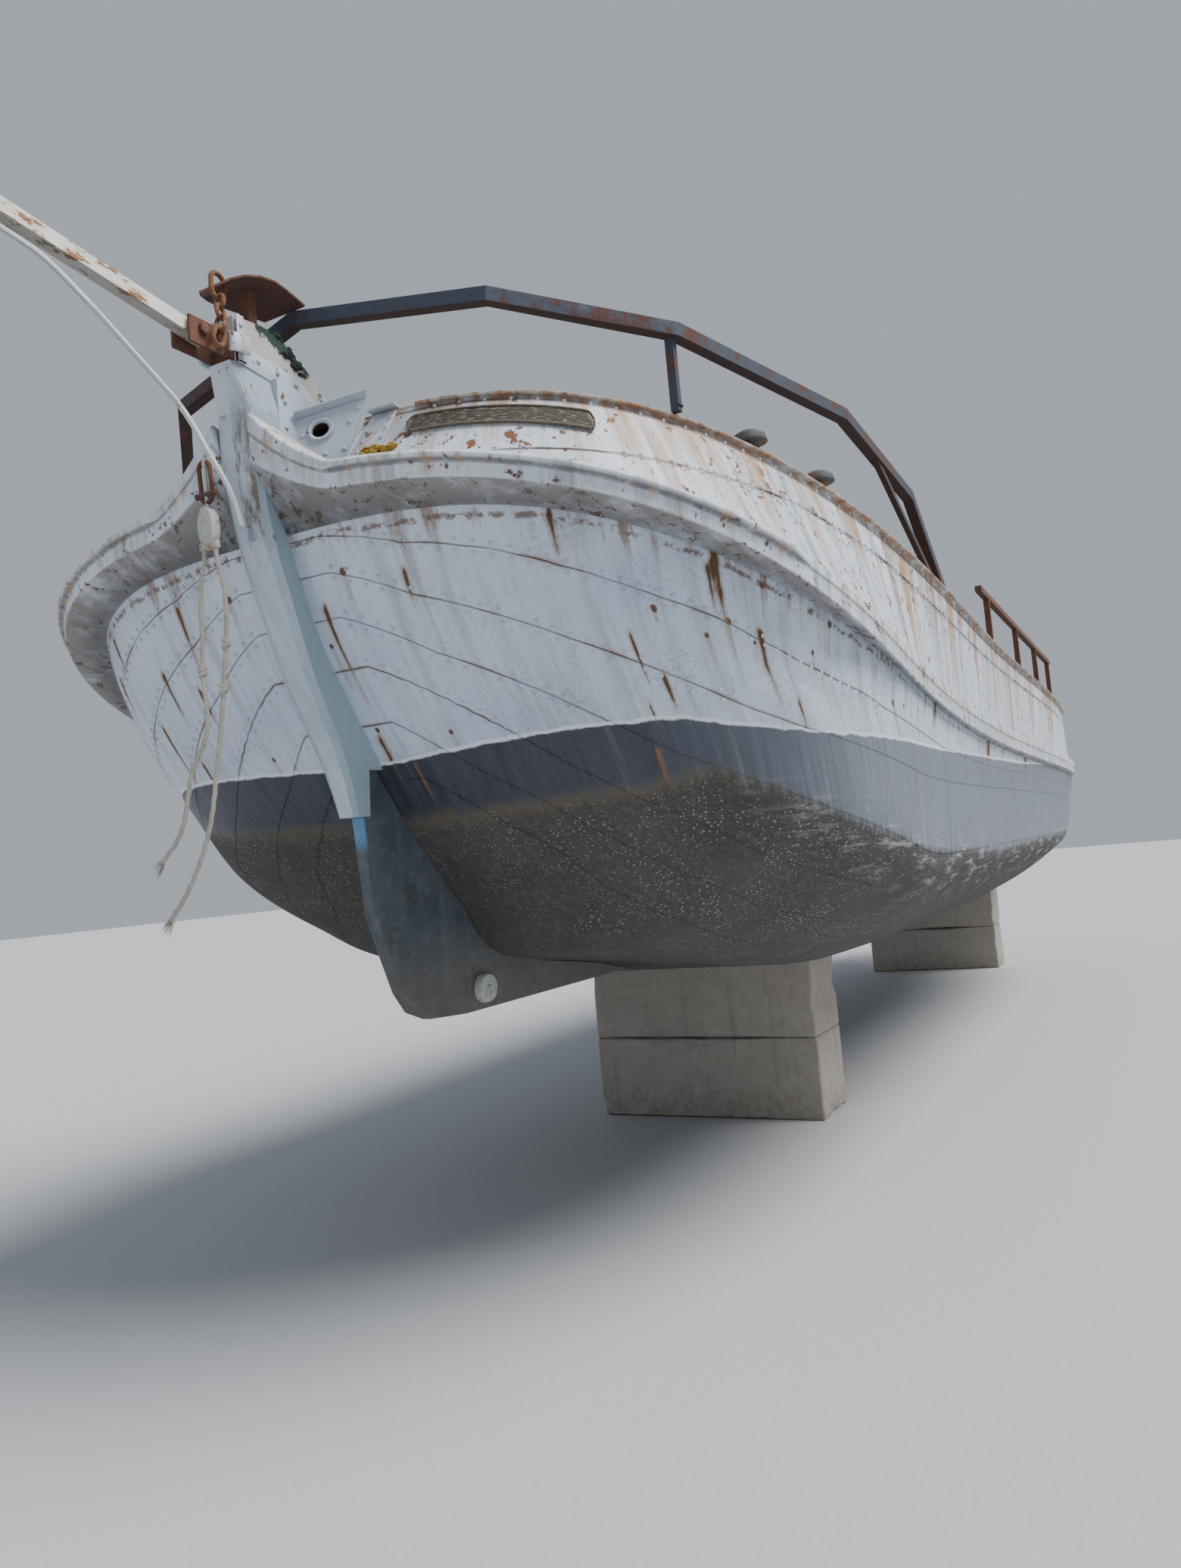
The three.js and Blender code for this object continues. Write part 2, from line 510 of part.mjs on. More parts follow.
const HEAD = { foreX: LEVELS.deckEdge.bowX, aftX: -560 };
const deckUnderHead = deckLine.filter((point) => point.x < HEAD.foreX - 1 && point.x > HEAD.aftX)
  .map((point) => [point.x, point.z + SEAT]);
const stemHead = sidePlate([[HEAD.foreX, 4126], [HEAD.foreX, deckZ(HEAD.foreX) + SEAT], ...deckUnderHead,
  [HEAD.aftX, deckZ(HEAD.aftX) + SEAT], [HEAD.aftX, 3700], [-500, 4060]], 2 * STEM_SIDE - 2 * SEAT);
add('stem_head', stemHead, WHITE_PAINT);
const stemCap = sidePlate([[60, 4332], [60, 4135 + SEAT], [HEAD.foreX, 4135 + SEAT],
  [HEAD.foreX, 4126 + SEAT], [-500, 4060 + SEAT], [-530, 4096], [-511, 4137], [-429, 4198], [-372, 4248],
  [-279, 4293], [-203, 4349], [-89, 4347]], 120);
add('stem_cap', stemCap, WOOD);

// Fin under the forefoot, against the rising bow plating. It runs up behind the foot of the stem.
const FIN = { thick: 60, footZ: 2290 - SEAT, topZ: STEM.footTop - 1 - SEAT, aftX: -3060 };
const underBow = bowProfile.filter((point) => point.z < FIN.topZ)
  .map((point) => [point.x + SEAT, point.z - SEAT]);
const underFloor = levelCurve(LEVELS.floor).slice(1, 20).filter((point) => point.x > FIN.aftX)
  .map((point) => [point.x, point.z - SEAT]);
const finOutline = [[-557, FIN.footZ], [-600, 1850], [-680, 1650], [-750, 1490], [-830, 1390],
  [-960, 1340], [-1250, 1320], [FIN.aftX, 1320], ...underFloor.reverse(), ...underBow,
  [bowProfileX(FIN.topZ) + SEAT, FIN.topZ], [STEM.footBack - SEAT, FIN.topZ],
  [STEM.footBack - SEAT, FIN.footZ]];
add('bow_fin', sidePlate(finOutline, FIN.thick), FIN_PAINT);
const finAnode = (side) => {
  const blob = new THREE.CylinderGeometry(72, 80, 42, 20).rotateX(side > 0 ? 0 : Math.PI);
  return blob.scale(1.05, 1, 0.95).translate(-1400, side * (FIN.thick / 2 + 21 + SEAT), 1425);
};
add('fin_anode_port', finAnode(1), ZINC);
add('fin_anode_starboard', finAnode(-1), ZINC);

// Skeg, heel shoe and sternpost in one plate, with the aperture for the propeller
const SHAFT_Z = 1720;
const APERTURE = { foreX: -15550, aftX: -16450, lowZ: 1330 };
const POST_AFT_X = -16620;
const SHOE_Z = 1270;
const RUDDER_AXIS_X = -16700;
const sternProfile = portLines.map((line) => line[line.length - 1])
  .map((point) => [point.x - SEAT, point.z - SEAT]);
const overAperture = sternProfile.findIndex(([x]) => x < APERTURE.foreX);
const [[lowX, lowZ], [highX, highZ]] = sternProfile.slice(overAperture - 1, overAperture + 1);
const apertureTop = lowZ + (highZ - lowZ) * (APERTURE.foreX - lowX) / (highX - lowX);
add('skeg', sidePlate([[-14815, SHOE_Z], [-16770, SHOE_Z], [-16770, APERTURE.lowZ],
  [POST_AFT_X, APERTURE.lowZ], [POST_AFT_X, 3140], [-16466, 3140], [-16466, 2900],
  [APERTURE.aftX, 2500], [APERTURE.aftX, APERTURE.lowZ], [APERTURE.foreX, APERTURE.lowZ],
  [APERTURE.foreX, apertureTop], ...sternProfile.slice(0, overAperture).reverse()], 90), HULL_PAINT);

// Propeller and its shaft turn together
const PROP = { x: -15980, radius: 300, hub: 62, blades: 4, pitchAngle: 0.55 };
function propellerBlade() {
  const rings = [0.12, 0.45, 0.75, 0.95].map((share) => {
    const reach = share * PROP.radius;
    const half = PROP.radius * [0.16, 0.3, 0.34, 0.16][[0.12, 0.45, 0.75, 0.95].indexOf(share)];
    const twist = PROP.pitchAngle + 0.5 * (1 - share);
    return [[-1, -0.5], [0, -1], [1, -0.5], [1, 0.5], [0, 1], [-1, 0.5]].map(([u, v]) => {
      const [along, thick] = [u * half, v * 7];
      return new THREE.Vector3(along * Math.sin(twist) + thick * Math.cos(twist),
        along * Math.cos(twist) - thick * Math.sin(twist), reach);
    });
  });
  return sweptSolid(rings);
}
const hub = new THREE.LatheGeometry([[0, -90], [30, -88], [PROP.hub, -40], [PROP.hub, 50], [30, 60],
  [30, PROP.x * -1 - 15550 - SEAT], [0, PROP.x * -1 - 15550 - SEAT]]
  .map(([r, y]) => new THREE.Vector2(r, y)), 24).rotateZ(-Math.PI / 2);
const blades = [];
for (let i = 0; i < PROP.blades; i++) {
  blades.push(propellerBlade().rotateX(i * 2 * Math.PI / PROP.blades));
}
add('propeller', joined(hub, ...blades).translate(PROP.x, 0, SHAFT_Z), BRONZE);

// Rudder hung on its own stock, which steps in the shoe, and its long tiller
const RUDDER = { thick: 70, stock: 38, headZ: 3950 };
const rudderBlade = sidePlate([[-16725, 1400], [-17450, 1400], [RUDDER_TAIL_X, 1500], [-17500, 2100],
  [-17260, 2650], [-17050, 3000], [-16960, 3350], [-16940, RUDDER.headZ], [-16690, RUDDER.headZ],
  [-16690, 1400]], RUDDER.thick);
add('rudder', joined(rudderBlade, rod([RUDDER_AXIS_X, 0, APERTURE.lowZ + SEAT],
  [RUDDER_AXIS_X, 0, RUDDER.headZ], RUDDER.stock, 16)), HULL_PAINT);
const tillerHeel = RUDDER.headZ + SEAT;
add('tiller', sweptSolid([[-16960, 55, 100], [-16600, 50, 100], [-15600, 42, 80], [-14700, 32, 60]]
  .map(([x, half, height]) => [[-1, 0], [1, 0], [1, 1], [-1, 1]].map(([u, v]) =>
    new THREE.Vector3(x, u * half, tillerHeel + v * height)))), WOOD);

// Bow rail: a square bar bent round the bow, on one stanchion each side, brought down to the cap.
// The whole rail sits a little to port of the stem, so each side has its own bends.
const RAIL = { size: 60, post: 38, brace: 32, splitY: 30 };
const RAIL_SIDES = {
  port: { path: [[-345, -20, 4485], [-440, 960, 4330], [-1000, 1540, 4220], [-2230, 1920, 4140],
    [-3400, 1985, 4000], [-4080, 2040, 3360]], post: [-1000, 1515, 3874], brace: [[-2750, 1950, 4060],
    [-4000, 2035, 3390]] },
  starboard: { path: [[-345, 80, 4485], [-440, -760, 4320], [-1000, -1340, 4220], [-2230, -1880, 4140],
    [-3400, -1985, 4000], [-4080, -2040, 3360]], post: [-1000, -1345, 3886], brace: [[-2750, -1930, 4060],
    [-4000, -2035, 3390]] },
};
const capSeats = { port: capSeat, starboard: mirrored(capSeat) };
for (const [side, { path, post, brace }] of Object.entries(RAIL_SIDES)) {
  const [x, y, foot] = post;
  const half = RAIL.post / 2;
  const bars = joined(squareBar(path, RAIL.size, RAIL.size), squareBar(brace, RAIL.brace, RAIL.brace),
    box(x - half, x + half, y - half, y + half, foot, 4220));
  const middle = side === 'port' ? box(-1000, 0, -300, RAIL.splitY + MID_GAP, 4000, 5000)
    : box(-1000, 0, RAIL.splitY - MID_GAP, 300, 4000, 5000);
  add(`bow_rail_${side}`, largestBody(cut(bars, capSeats[side], middle)), RAIL_PAINT);
}

// Scooped plate that closes the rail over the stem, on a short post. Rows: x, half width, height.
const NOSE = { y: -20, thick: 12 };
const NOSE_ROWS = [[116, 14, 4408], [100, 44, 4440], [66, 88, 4470], [22, 128, 4490], [-40, 156, 4503],
  [-110, 165, 4510], [-190, 152, 4514], [-270, 134, 4517], [-345, 118, 4516 + SEAT]];
const nosePlate = sweptSolid(NOSE_ROWS.map(([x, half, z]) => [
  new THREE.Vector3(x, NOSE.y - half, z), new THREE.Vector3(x, NOSE.y + half, z),
  new THREE.Vector3(x, NOSE.y + half, z + NOSE.thick), new THREE.Vector3(x, NOSE.y - half, z + NOSE.thick)]));
add('nose_plate', joined(nosePlate,
  cut(box(-120, -70, -25, 25, 4200, 4515), stemCap.clone().translate(0, 0, SEAT))), RUST);

// Aft rail along the waist
const AFT_RAIL = { foreX: -5620, aftX: -10560, low: 3806, high: 3850, posts: [-6010, -7690, -9150, -10400] };
const aftPosts = AFT_RAIL.posts.map((x) => box(x - 22, x + 22, 1998, 2042, 3200, 3820));
const aftBar = box(AFT_RAIL.foreX, AFT_RAIL.aftX, 1996, 2044, AFT_RAIL.low, AFT_RAIL.high);
const aftRail = standingOnCap(joined(aftBar, ...aftPosts));
add('aft_rail_port', aftRail, RUST);
add('aft_rail_starboard', mirrored(aftRail), RUST);

// Bowsprit hinged in a forked bracket on the stem head; its stay is fast at the tip
const PIVOT = { x: 220, z: 4210, pin: 14, cheek: 40 };
const BOWSPRIT = { size: 58, rise: 0.136, heelX: 168, tipX: BOWSPRIT_TIP_X - 4.45 };
const bowspritZ = (x) => PIVOT.z + BOWSPRIT.rise * (x - PIVOT.x);
const spar = squareBar([[BOWSPRIT.heelX, 0, bowspritZ(BOWSPRIT.heelX)],
  [BOWSPRIT.tipX, 0, bowspritZ(BOWSPRIT.tipX)]], BOWSPRIT.size, BOWSPRIT.size);
add('bowsprit', joined(spar,
  rod([PIVOT.x, -PIVOT.cheek + SEAT, PIVOT.z], [PIVOT.x, PIVOT.cheek - SEAT, PIVOT.z], PIVOT.pin, 16)),
  WHITE_PAINT);
const BRACKET = { aftX: 60 + SEAT, webX: 84, foreX: 286, lowZ: 4142, topZ: 4250, cheek: 12 };
add('bowsprit_bracket', joined(box(BRACKET.aftX, BRACKET.webX, -54, 54, BRACKET.lowZ, BRACKET.topZ),
  ...[PIVOT.cheek, -PIVOT.cheek - BRACKET.cheek].map((y) =>
    box(80, BRACKET.foreX, y, y + BRACKET.cheek, BRACKET.lowZ, BRACKET.topZ))), RUST);
const BOBSTAY_ROUTE = [[22, 0, 3478], [50, 0, 3560], [90, 0, 3630], [140, 0, 3692], [195, 0, 3758],
  [250, 0, 3826], [310, 0, 3886], [405, 0, 3949], [532, 0, 4028], [653, 0, 4104], [740, 0, 4155],
  [820, 0, 4198], [900, 0, 4232], [1037, 0, 4258], [1400, 0, 4312], [1800, 0, 4376]];
const STAY_LUG = [[1770, 4368], [1830, 4368]];
const underSpar = (x) => bowspritZ(x) - BOWSPRIT.size / 2 * Math.hypot(1, BOWSPRIT.rise) - SEAT;
add('bobstay', joined(bentTube(BOBSTAY_ROUTE, 11, 8, 40),
  sidePlate([...STAY_LUG, [1830, underSpar(1830)], [1770, underSpar(1770)]], 16)), WHITE_PAINT);

// Tail block hung beside the stem, and the two frayed tails of rope from it
const TAIL_BLOCK = { x: 125, y: -80, topZ: 3548, lowZ: 3388, armZ: 3730, becketZ: 3378 };
const TAIL_TOP = TAIL_BLOCK.becketZ - 0.3;
const blockBody = new THREE.CylinderGeometry(1, 1, 46, 16).rotateZ(Math.PI / 2)
  .scale(1, 40, (TAIL_BLOCK.topZ - TAIL_BLOCK.lowZ) / 2)
  .translate(TAIL_BLOCK.x, TAIL_BLOCK.y, (TAIL_BLOCK.topZ + TAIL_BLOCK.lowZ) / 2);
const stemNoseX = STEM_ROWS.find(({ z }) => z === 3700).front;
add('rope_block', joined(blockBody, box(113, 137, -126, -36, TAIL_BLOCK.becketZ, 3406),
  box(stemNoseX + SEAT, 137, TAIL_BLOCK.y - 5, TAIL_BLOCK.y + 9, TAIL_BLOCK.armZ - 15, TAIL_BLOCK.armZ + 15),
  rod([TAIL_BLOCK.x, TAIL_BLOCK.y, TAIL_BLOCK.armZ], [TAIL_BLOCK.x, TAIL_BLOCK.y, 3536], 9)), ZINC);
const ROPE_TAILS = {
  rope_tail_short: [[125, -113, TAIL_TOP], [125, -114, 3345], [126, -124, 3305], [128, -135, 3260],
    [130, -142, 3210], [130, -145, 3150], [130, -146, 3080], [130, -150, 3010], [130, -157, 2945],
    [130, -161, 2890], [130, -157, 2830], [130, -150, 2765], [130, -149, 2700], [130, -161, 2640],
    [130, -188, 2590], [130, -224, 2545], [130, -258, 2485], [130, -284, 2400], [130, -314, 2305],
    [130, -368, 2225], [130, -458, 2150]],
  rope_tail_long: [[125, -49, TAIL_TOP], [125, -48, 3345], [121, -44, 3305], [114, -39, 3255],
    [107, -36, 3200], [103, -38, 3130], [101, -45, 3065], [100, -54, 2995], [100, -64, 2920],
    [100, -76, 2845], [100, -89, 2775], [100, -101, 2710], [100, -115, 2640], [100, -131, 2565],
    [100, -149, 2490], [100, -169, 2400], [100, -192, 2313], [100, -222, 2235], [100, -262, 2155],
    [100, -318, 2068], [100, -386, 1985], [100, -462, 1912]],
};
for (const [name, points] of Object.entries(ROPE_TAILS)) {
  add(name, bentTube(points, 10, 8, 40), ROPE);
}

// Low mushroom-headed bitts on the bulwark cap
for (const [name, station] of [['fore_cap_bitt', 0.72], ['after_cap_bitt', 0.865]]) {
  const foot = onBulwark(station, 1, -28);
  const bitt = new THREE.LatheGeometry([[0, 0], [40, 0], [40, 40], [82, 52], [74, 84], [42, 104], [0, 110]]
    .map(([r, y]) => new THREE.Vector2(r, y)), 20).rotateX(Math.PI / 2);
  const placed = standingOnCap(bitt.translate(foot.x, foot.y, foot.z + BULWARK.capThick - 8));
  add(`${name}_port`, placed, ZINC);
  add(`${name}_starboard`, mirrored(placed), ZINC);
}

// Windlass: a frame of two cheeks and a drum that turns between them
const WINDLASS = { x: -2050, half: 350, spindle: 30, z: 3420 };
const spindleHole = rod([WINDLASS.x, -600, WINDLASS.z], [WINDLASS.x, 600, WINDLASS.z], 30.8, 24);
const cheekOutline = [[-1780, 2700], [-2320, 2700], [-2120, 3500], [-1980, 3500]];
add('windlass_frame', cut(seatedOnDeck(sidePlate(cheekOutline, 24, WINDLASS.half),
  sidePlate(cheekOutline, 24, -WINDLASS.half), box(-2250, -2200, -WINDLASS.half, WINDLASS.half, 2900, 3060)),
spindleHole), GALVANISED);
const drumRows = [[0, -520], [70, -520], [78, -500], [52, -450], [78, -385], [30, -385], [30, -330],
  [100, -330], [100, -300], [85, -280], [85, 200], [150, 200], [150, 250], [100, 250], [100, 330],
  [30, 330], [30, 385], [78, 385], [52, 450], [78, 500], [70, 520], [0, 520]];
add('windlass_drum', new THREE.LatheGeometry(drumRows.map(([r, y]) => new THREE.Vector2(r, y)), 24)
  .translate(WINDLASS.x, 0, WINDLASS.z), GALVANISED);

// Fore hatch: a coaming and a lid hinged along its after edge
const HATCH = { foreX: -2760, aftX: -3460, half: 350, wall: 40, top: 3120, lid: 40, lip: 30 };
add('hatch_coaming', cut(seatedOnDeck(box(HATCH.foreX, HATCH.aftX, -HATCH.half, HATCH.half, 2600, HATCH.top)),
  box(HATCH.foreX - HATCH.wall, HATCH.aftX + HATCH.wall, -HATCH.half + HATCH.wall,
    HATCH.half - HATCH.wall, 2500, 3200)), WHITE_PAINT);
add('hatch_lid', box(HATCH.foreX + HATCH.lip, HATCH.aftX - HATCH.lip, -HATCH.half - HATCH.lip,
  HATCH.half + HATCH.lip, HATCH.top + SEAT, HATCH.top + SEAT + HATCH.lid), DECK_PAINT);

// Tabernacle that holds the foot of the mast between two cheeks
const STEP = { foreX: -4450, aftX: -4760, inner: 150, plate: 26, baseZ: 2850, topZ: 3780 };
add('tabernacle', seatedOnDeck(box(STEP.foreX, STEP.aftX, -STEP.inner - 5, STEP.inner + 5, 2700, STEP.baseZ),
  box(STEP.foreX, STEP.aftX, STEP.inner, STEP.inner + STEP.plate, 2700, STEP.topZ),
  box(STEP.foreX, STEP.aftX, -STEP.inner - STEP.plate, -STEP.inner, 2700, STEP.topZ)), WHITE_PAINT);

// Cabin tops: hollow walls with windows under a cambered roof
function camberSection(half, sideZ, crown, step = 8) {
  const points = [];
  for (let i = 0; i <= step; i++) {
    const y = half - 2 * half * i / step;
    points.push([y, sideZ + crown * (1 - (y / half) ** 2)]);
  }
  return points;
}
function alongX(section, x0, x1) {
  const shape = new THREE.Shape(section.map(([y, z]) => new THREE.Vector2(y, z)));
  const geometry = new THREE.ExtrudeGeometry(shape, { depth: Math.abs(x1 - x0), bevelEnabled: false });
  return geometry.rotateX(Math.PI / 2).rotateZ(Math.PI / 2).translate(Math.min(x0, x1), 0, 0);
}
const WALL = 45;
function cabinWalls({ foreX, aftX, half, sideZ, crown }) {
  const outer = alongX([[half, 2600], ...camberSection(half, sideZ, crown), [-half, 2600]], foreX, aftX);
  const inner = box(foreX - WALL, aftX + WALL, -half + WALL, half - WALL, 2500, 4200);
  return cut(seatedOnDeck(outer), inner);
}
function cabinRoof({ foreX, aftX, half, sideZ, crown }, lip) {
  const under = camberSection(half, sideZ + SEAT, crown);
  const over = under.map(([y, z]) => [y, z + WALL]).reverse();
  const [low, high] = [sideZ - 5, sideZ + WALL - 10];
  return alongX([[half + lip, low], ...under, [-half - lip, low], [-half - lip, high], ...over,
    [half + lip, high]], foreX + lip, aftX - lip);
}
function windows(xs, half, z0, z1, width) {
  return xs.map((x) => box(x - width / 2, x + width / 2, -half - 100, half + 100, z0, z1));
}
const HOLD = { foreX: -5400, aftX: -9900, half: 1400, sideZ: 3210, crown: 190 };
const holdWindows = windows([-6100, -7150, -8150, -9200], HOLD.half, 2910, 3090, 460);
add('hold_coaming', cut(cabinWalls(HOLD), ...holdWindows), WHITE_PAINT);
add('hold_roof', cabinRoof(HOLD, 30), DECK_PAINT);

const HOUSE = { foreX: -10550, aftX: -12950, half: 1250, sideZ: 3370, crown: 150 };
const DOORWAY = { half: 330, sill: 2850, top: 3547, thick: 36, lipHalf: 500 };
add('deckhouse_walls', cut(cabinWalls(HOUSE), ...windows([-11250, -12250], HOUSE.half, 2990, 3230, 560),
  box(-12800, -13100, -DOORWAY.half, DOORWAY.half, DOORWAY.sill, 3800)), WHITE_PAINT);
const SLIDE = { foreX: -12080, aftX: -12985, half: 372 };
add('deckhouse_roof', cut(cabinRoof(HOUSE, 30),
  box(-12180, -13100, -DOORWAY.half, DOORWAY.half, 3300, 3800),
  box(HOUSE.aftX - 0.5, -13100, -DOORWAY.lipHalf, DOORWAY.lipHalf, 3300, 3800)), DECK_PAINT);
const roofRows = camberSection(HOUSE.half, HOUSE.sideZ + SEAT, HOUSE.crown)
  .filter(([y]) => Math.abs(y) < SLIDE.half).map(([y, z]) => [y, z + WALL + SEAT]);
const slideEdgeZ = HOUSE.sideZ + HOUSE.crown * 0.91 + WALL;
const slideSection = [[SLIDE.half, slideEdgeZ], ...roofRows, [-SLIDE.half, slideEdgeZ],
  [-SLIDE.half, slideEdgeZ + 36], ...roofRows.map(([y, z]) => [y, z + 36]).reverse(),
  [SLIDE.half, slideEdgeZ + 36]];
add('companion_slide', alongX(slideSection, SLIDE.foreX, SLIDE.aftX), DECK_PAINT);
const door = box(HOUSE.aftX, HOUSE.aftX + DOORWAY.thick, SEAT, DOORWAY.half - SEAT, DOORWAY.sill + SEAT,
  DOORWAY.top);
add('companion_door_port', door, WOOD);
add('companion_door_starboard', mirrored(door), WOOD);

// Mooring bollards on the fore and after deck
const bollardPost = (x, y, base) => new THREE.LatheGeometry([[0, 0], [48, 0], [48, 250], [62, 262], [62, 296],
  [0, 296]].map(([r, h]) => new THREE.Vector2(r, h)), 16).rotateX(Math.PI / 2).translate(x, y, base);
for (const [place, x, y] of [['fore', -1500, 1150], ['aft', -14900, 1150]]) {
  const base = deckZ(x) - 60;
  const bollard = seatedOnDeck(box(x - 190, x + 190, y - 80, y + 80, base - 300, base + 110),
    bollardPost(x - 110, y, base + 100), bollardPost(x + 110, y, base + 100));
  add(`${place}_bollard_port`, bollard, GALVANISED);
  add(`${place}_bollard_starboard`, mirrored(bollard), GALVANISED);
}

// Concrete blocks in two stacks under the flat of the floor
for (const [stack, foreX, portY] of [['bow', -4670, 700], ['stern', -13700, 640]]) {
  for (const [layer, level] of [['lower', 0], ['upper', 1]]) {
    const gap = level ? SEAT / 2 : 0;
    const low = GROUND + level * BLOCK.height + gap;
    add(`${stack}_block_${layer}`, box(foreX, foreX - BLOCK.depth, portY, portY - BLOCK.length, low,
      GROUND + (level + 1) * BLOCK.height), CONCRETE);
  }
}

// The origin lies on the ground under the middle of the boat's whole length
model.position.x = -(BOWSPRIT_TIP_X + RUDDER_TAIL_X) / 2;

export default model;
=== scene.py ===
# A flat-bottomed, round-bowed steel sailing barge laid up ashore on two stacks of concrete blocks.
# Metres, +X towards the bow, +Y to port, +Z up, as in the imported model.
import math
import random

import bmesh
import bpy
from mathutils import Matrix, Vector, noise


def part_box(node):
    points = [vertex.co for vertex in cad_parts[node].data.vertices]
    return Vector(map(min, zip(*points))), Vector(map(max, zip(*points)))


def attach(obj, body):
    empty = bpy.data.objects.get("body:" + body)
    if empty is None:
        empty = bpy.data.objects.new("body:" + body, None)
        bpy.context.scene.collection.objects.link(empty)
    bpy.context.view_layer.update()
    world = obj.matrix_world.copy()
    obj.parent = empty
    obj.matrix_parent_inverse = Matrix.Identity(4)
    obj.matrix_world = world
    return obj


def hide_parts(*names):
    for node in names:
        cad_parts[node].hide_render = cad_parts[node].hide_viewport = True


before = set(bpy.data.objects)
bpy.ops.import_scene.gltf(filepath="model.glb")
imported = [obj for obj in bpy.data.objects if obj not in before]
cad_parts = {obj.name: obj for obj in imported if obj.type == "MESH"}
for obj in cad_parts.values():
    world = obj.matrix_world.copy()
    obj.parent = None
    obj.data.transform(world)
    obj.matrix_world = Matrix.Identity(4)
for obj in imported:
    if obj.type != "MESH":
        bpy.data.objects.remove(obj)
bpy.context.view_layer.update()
bpy.ops.object.select_all(action="DESELECT")
random.seed(7)

# Camera, ground and light
# The camera stands off the port bow, 2 m above the ground, and looks aft and slightly up along the
# port side. The picture is not quite level. The ground is plain and pale, and the light broad and soft.
camera_place = Vector((11.178, 3.236, 2.0))
camera_turn = math.radians(27.477)
camera_pitch = math.radians(3.971)
camera_roll = 0.088
camera_lens_px = 1497.0
photo_height_px = 2072.0
sensor_height_mm = 36.0
ahead = Vector((-math.cos(camera_turn), -math.sin(camera_turn), 0.0))
level_right = Vector((-math.sin(camera_turn), math.cos(camera_turn), 0.0))
sight = ahead * math.cos(camera_pitch) + Vector((0, 0, math.sin(camera_pitch)))
level_up = level_right.cross(sight).normalized()
right = level_right * math.cos(camera_roll) - level_up * math.sin(camera_roll)
up = right.cross(sight).normalized()
bpy.ops.object.camera_add(location=camera_place)
camera = bpy.context.object
camera.rotation_euler = Matrix((right, up, -sight)).transposed().to_euler()
camera.data.sensor_fit = "VERTICAL"
camera.data.sensor_height = sensor_height_mm
camera.data.lens = camera_lens_px / photo_height_px * sensor_height_mm
camera.data.clip_end = 200
bpy.context.scene.camera = camera

bpy.ops.mesh.primitive_plane_add(size=160, location=(0, 0, 0))
ground = bpy.context.object
ground.name = "ground"
world = bpy.context.scene.world or bpy.data.worlds.new("studio")
bpy.context.scene.world = world
world.use_nodes = True
fill = world.node_tree.nodes["Background"].inputs
fill["Color"].default_value = (0.82, 0.9, 1.0, 1)
fill["Strength"].default_value = 0.5
bpy.ops.object.light_add(type="SUN", location=(0, 10, 20))
sun = bpy.context.object
sun.data.energy = 5.0
sun.data.angle = math.radians(35)
sun.data.color = (1.0, 0.99, 0.97)
light_falls = Vector((0.13, -0.7, -1.0))
sun.rotation_euler = light_falls.to_track_quat("-Z", "Y").to_euler()


# Ropes
# Two frayed tails of three-strand laid rope hang from the block beside the stem, blown a little to
# starboard. Each is spliced to the becket under the block, is knotted on itself and ends in a fray.
def add_node(tree, kind, wires=None, **settings):
    node = tree.nodes.new("ShaderNode" + kind)
    for name, value in settings.items():
        setattr(node, name, value)
    for name, value in (wires or {}).items():
        if isinstance(value, bpy.types.NodeSocket):
            tree.links.new(value, node.inputs[name])
        else:
            node.inputs[name].default_value = value
    return node


# Each of the functions below works in the node tree of the socket that it is given
def reckon(operation, first, second=0.0):
    tree = (first if isinstance(first, bpy.types.NodeSocket) else second).id_data
    return add_node(tree, "Math", {0: first, 1: second}, operation=operation).outputs[0]


def times(first, second):
    return reckon("MULTIPLY", first, second)


def plus(first, second):
    return reckon("ADD", first, second)


def minus(first, second):
    return reckon("SUBTRACT", first, second)


def larger(first, second):
    return reckon("MAXIMUM", first, second)


def unsigned(value):
    return reckon("ABSOLUTE", value)


def spread(value, low, high, to_low=0.0, to_high=1.0):
    wires = {0: value, 1: low, 2: high, 3: to_low, 4: to_high}
    return add_node(value.id_data, "MapRange", wires).outputs[0]


def tint(share, first, second):
    four = [c if isinstance(c, bpy.types.NodeSocket) else (*c, 1) for c in (first, second)]
    tree = next(c.id_data for c in (share, first, second) if isinstance(c, bpy.types.NodeSocket))
    return add_node(tree, "Mix", {0: share, 6: four[0], 7: four[1]}, data_type="RGBA").outputs[2]


def stretched(place, scale, move=(0, 0, 0)):
    wires = {"Vector": place, "Scale": scale, "Location": move}
    return add_node(place.id_data, "Mapping", wires).outputs[0]


def cloudy(place, scale, detail=4.0, roughness=0.55, warp=0.0):
    wires = {"Vector": place, "Scale": scale, "Detail": detail, "Roughness": roughness,
             "Distortion": warp}
    return add_node(place.id_data, "TexNoise", wires).outputs["Fac"]


def new_finish(name, metallic=0.0):
    finish = bpy.data.materials.new(name)
    finish.use_nodes = True
    shader = finish.node_tree.nodes["Principled BSDF"]
    shader.inputs["Metallic"].default_value = metallic
    place = add_node(finish.node_tree, "TexCoord").outputs["Object"]
    return finish, shader, place


def dress(shader, colour, roughness, height, depth):
    tree = shader.id_data
    tree.links.new(colour, shader.inputs["Base Color"])
    if isinstance(roughness, bpy.types.NodeSocket):
        tree.links.new(roughness, shader.inputs["Roughness"])
    else:
        shader.inputs["Roughness"].default_value = roughness
    relief = add_node(tree, "Bump", {"Height": height, "Distance": depth})
    tree.links.new(relief.outputs[0], shader.inputs["Normal"])


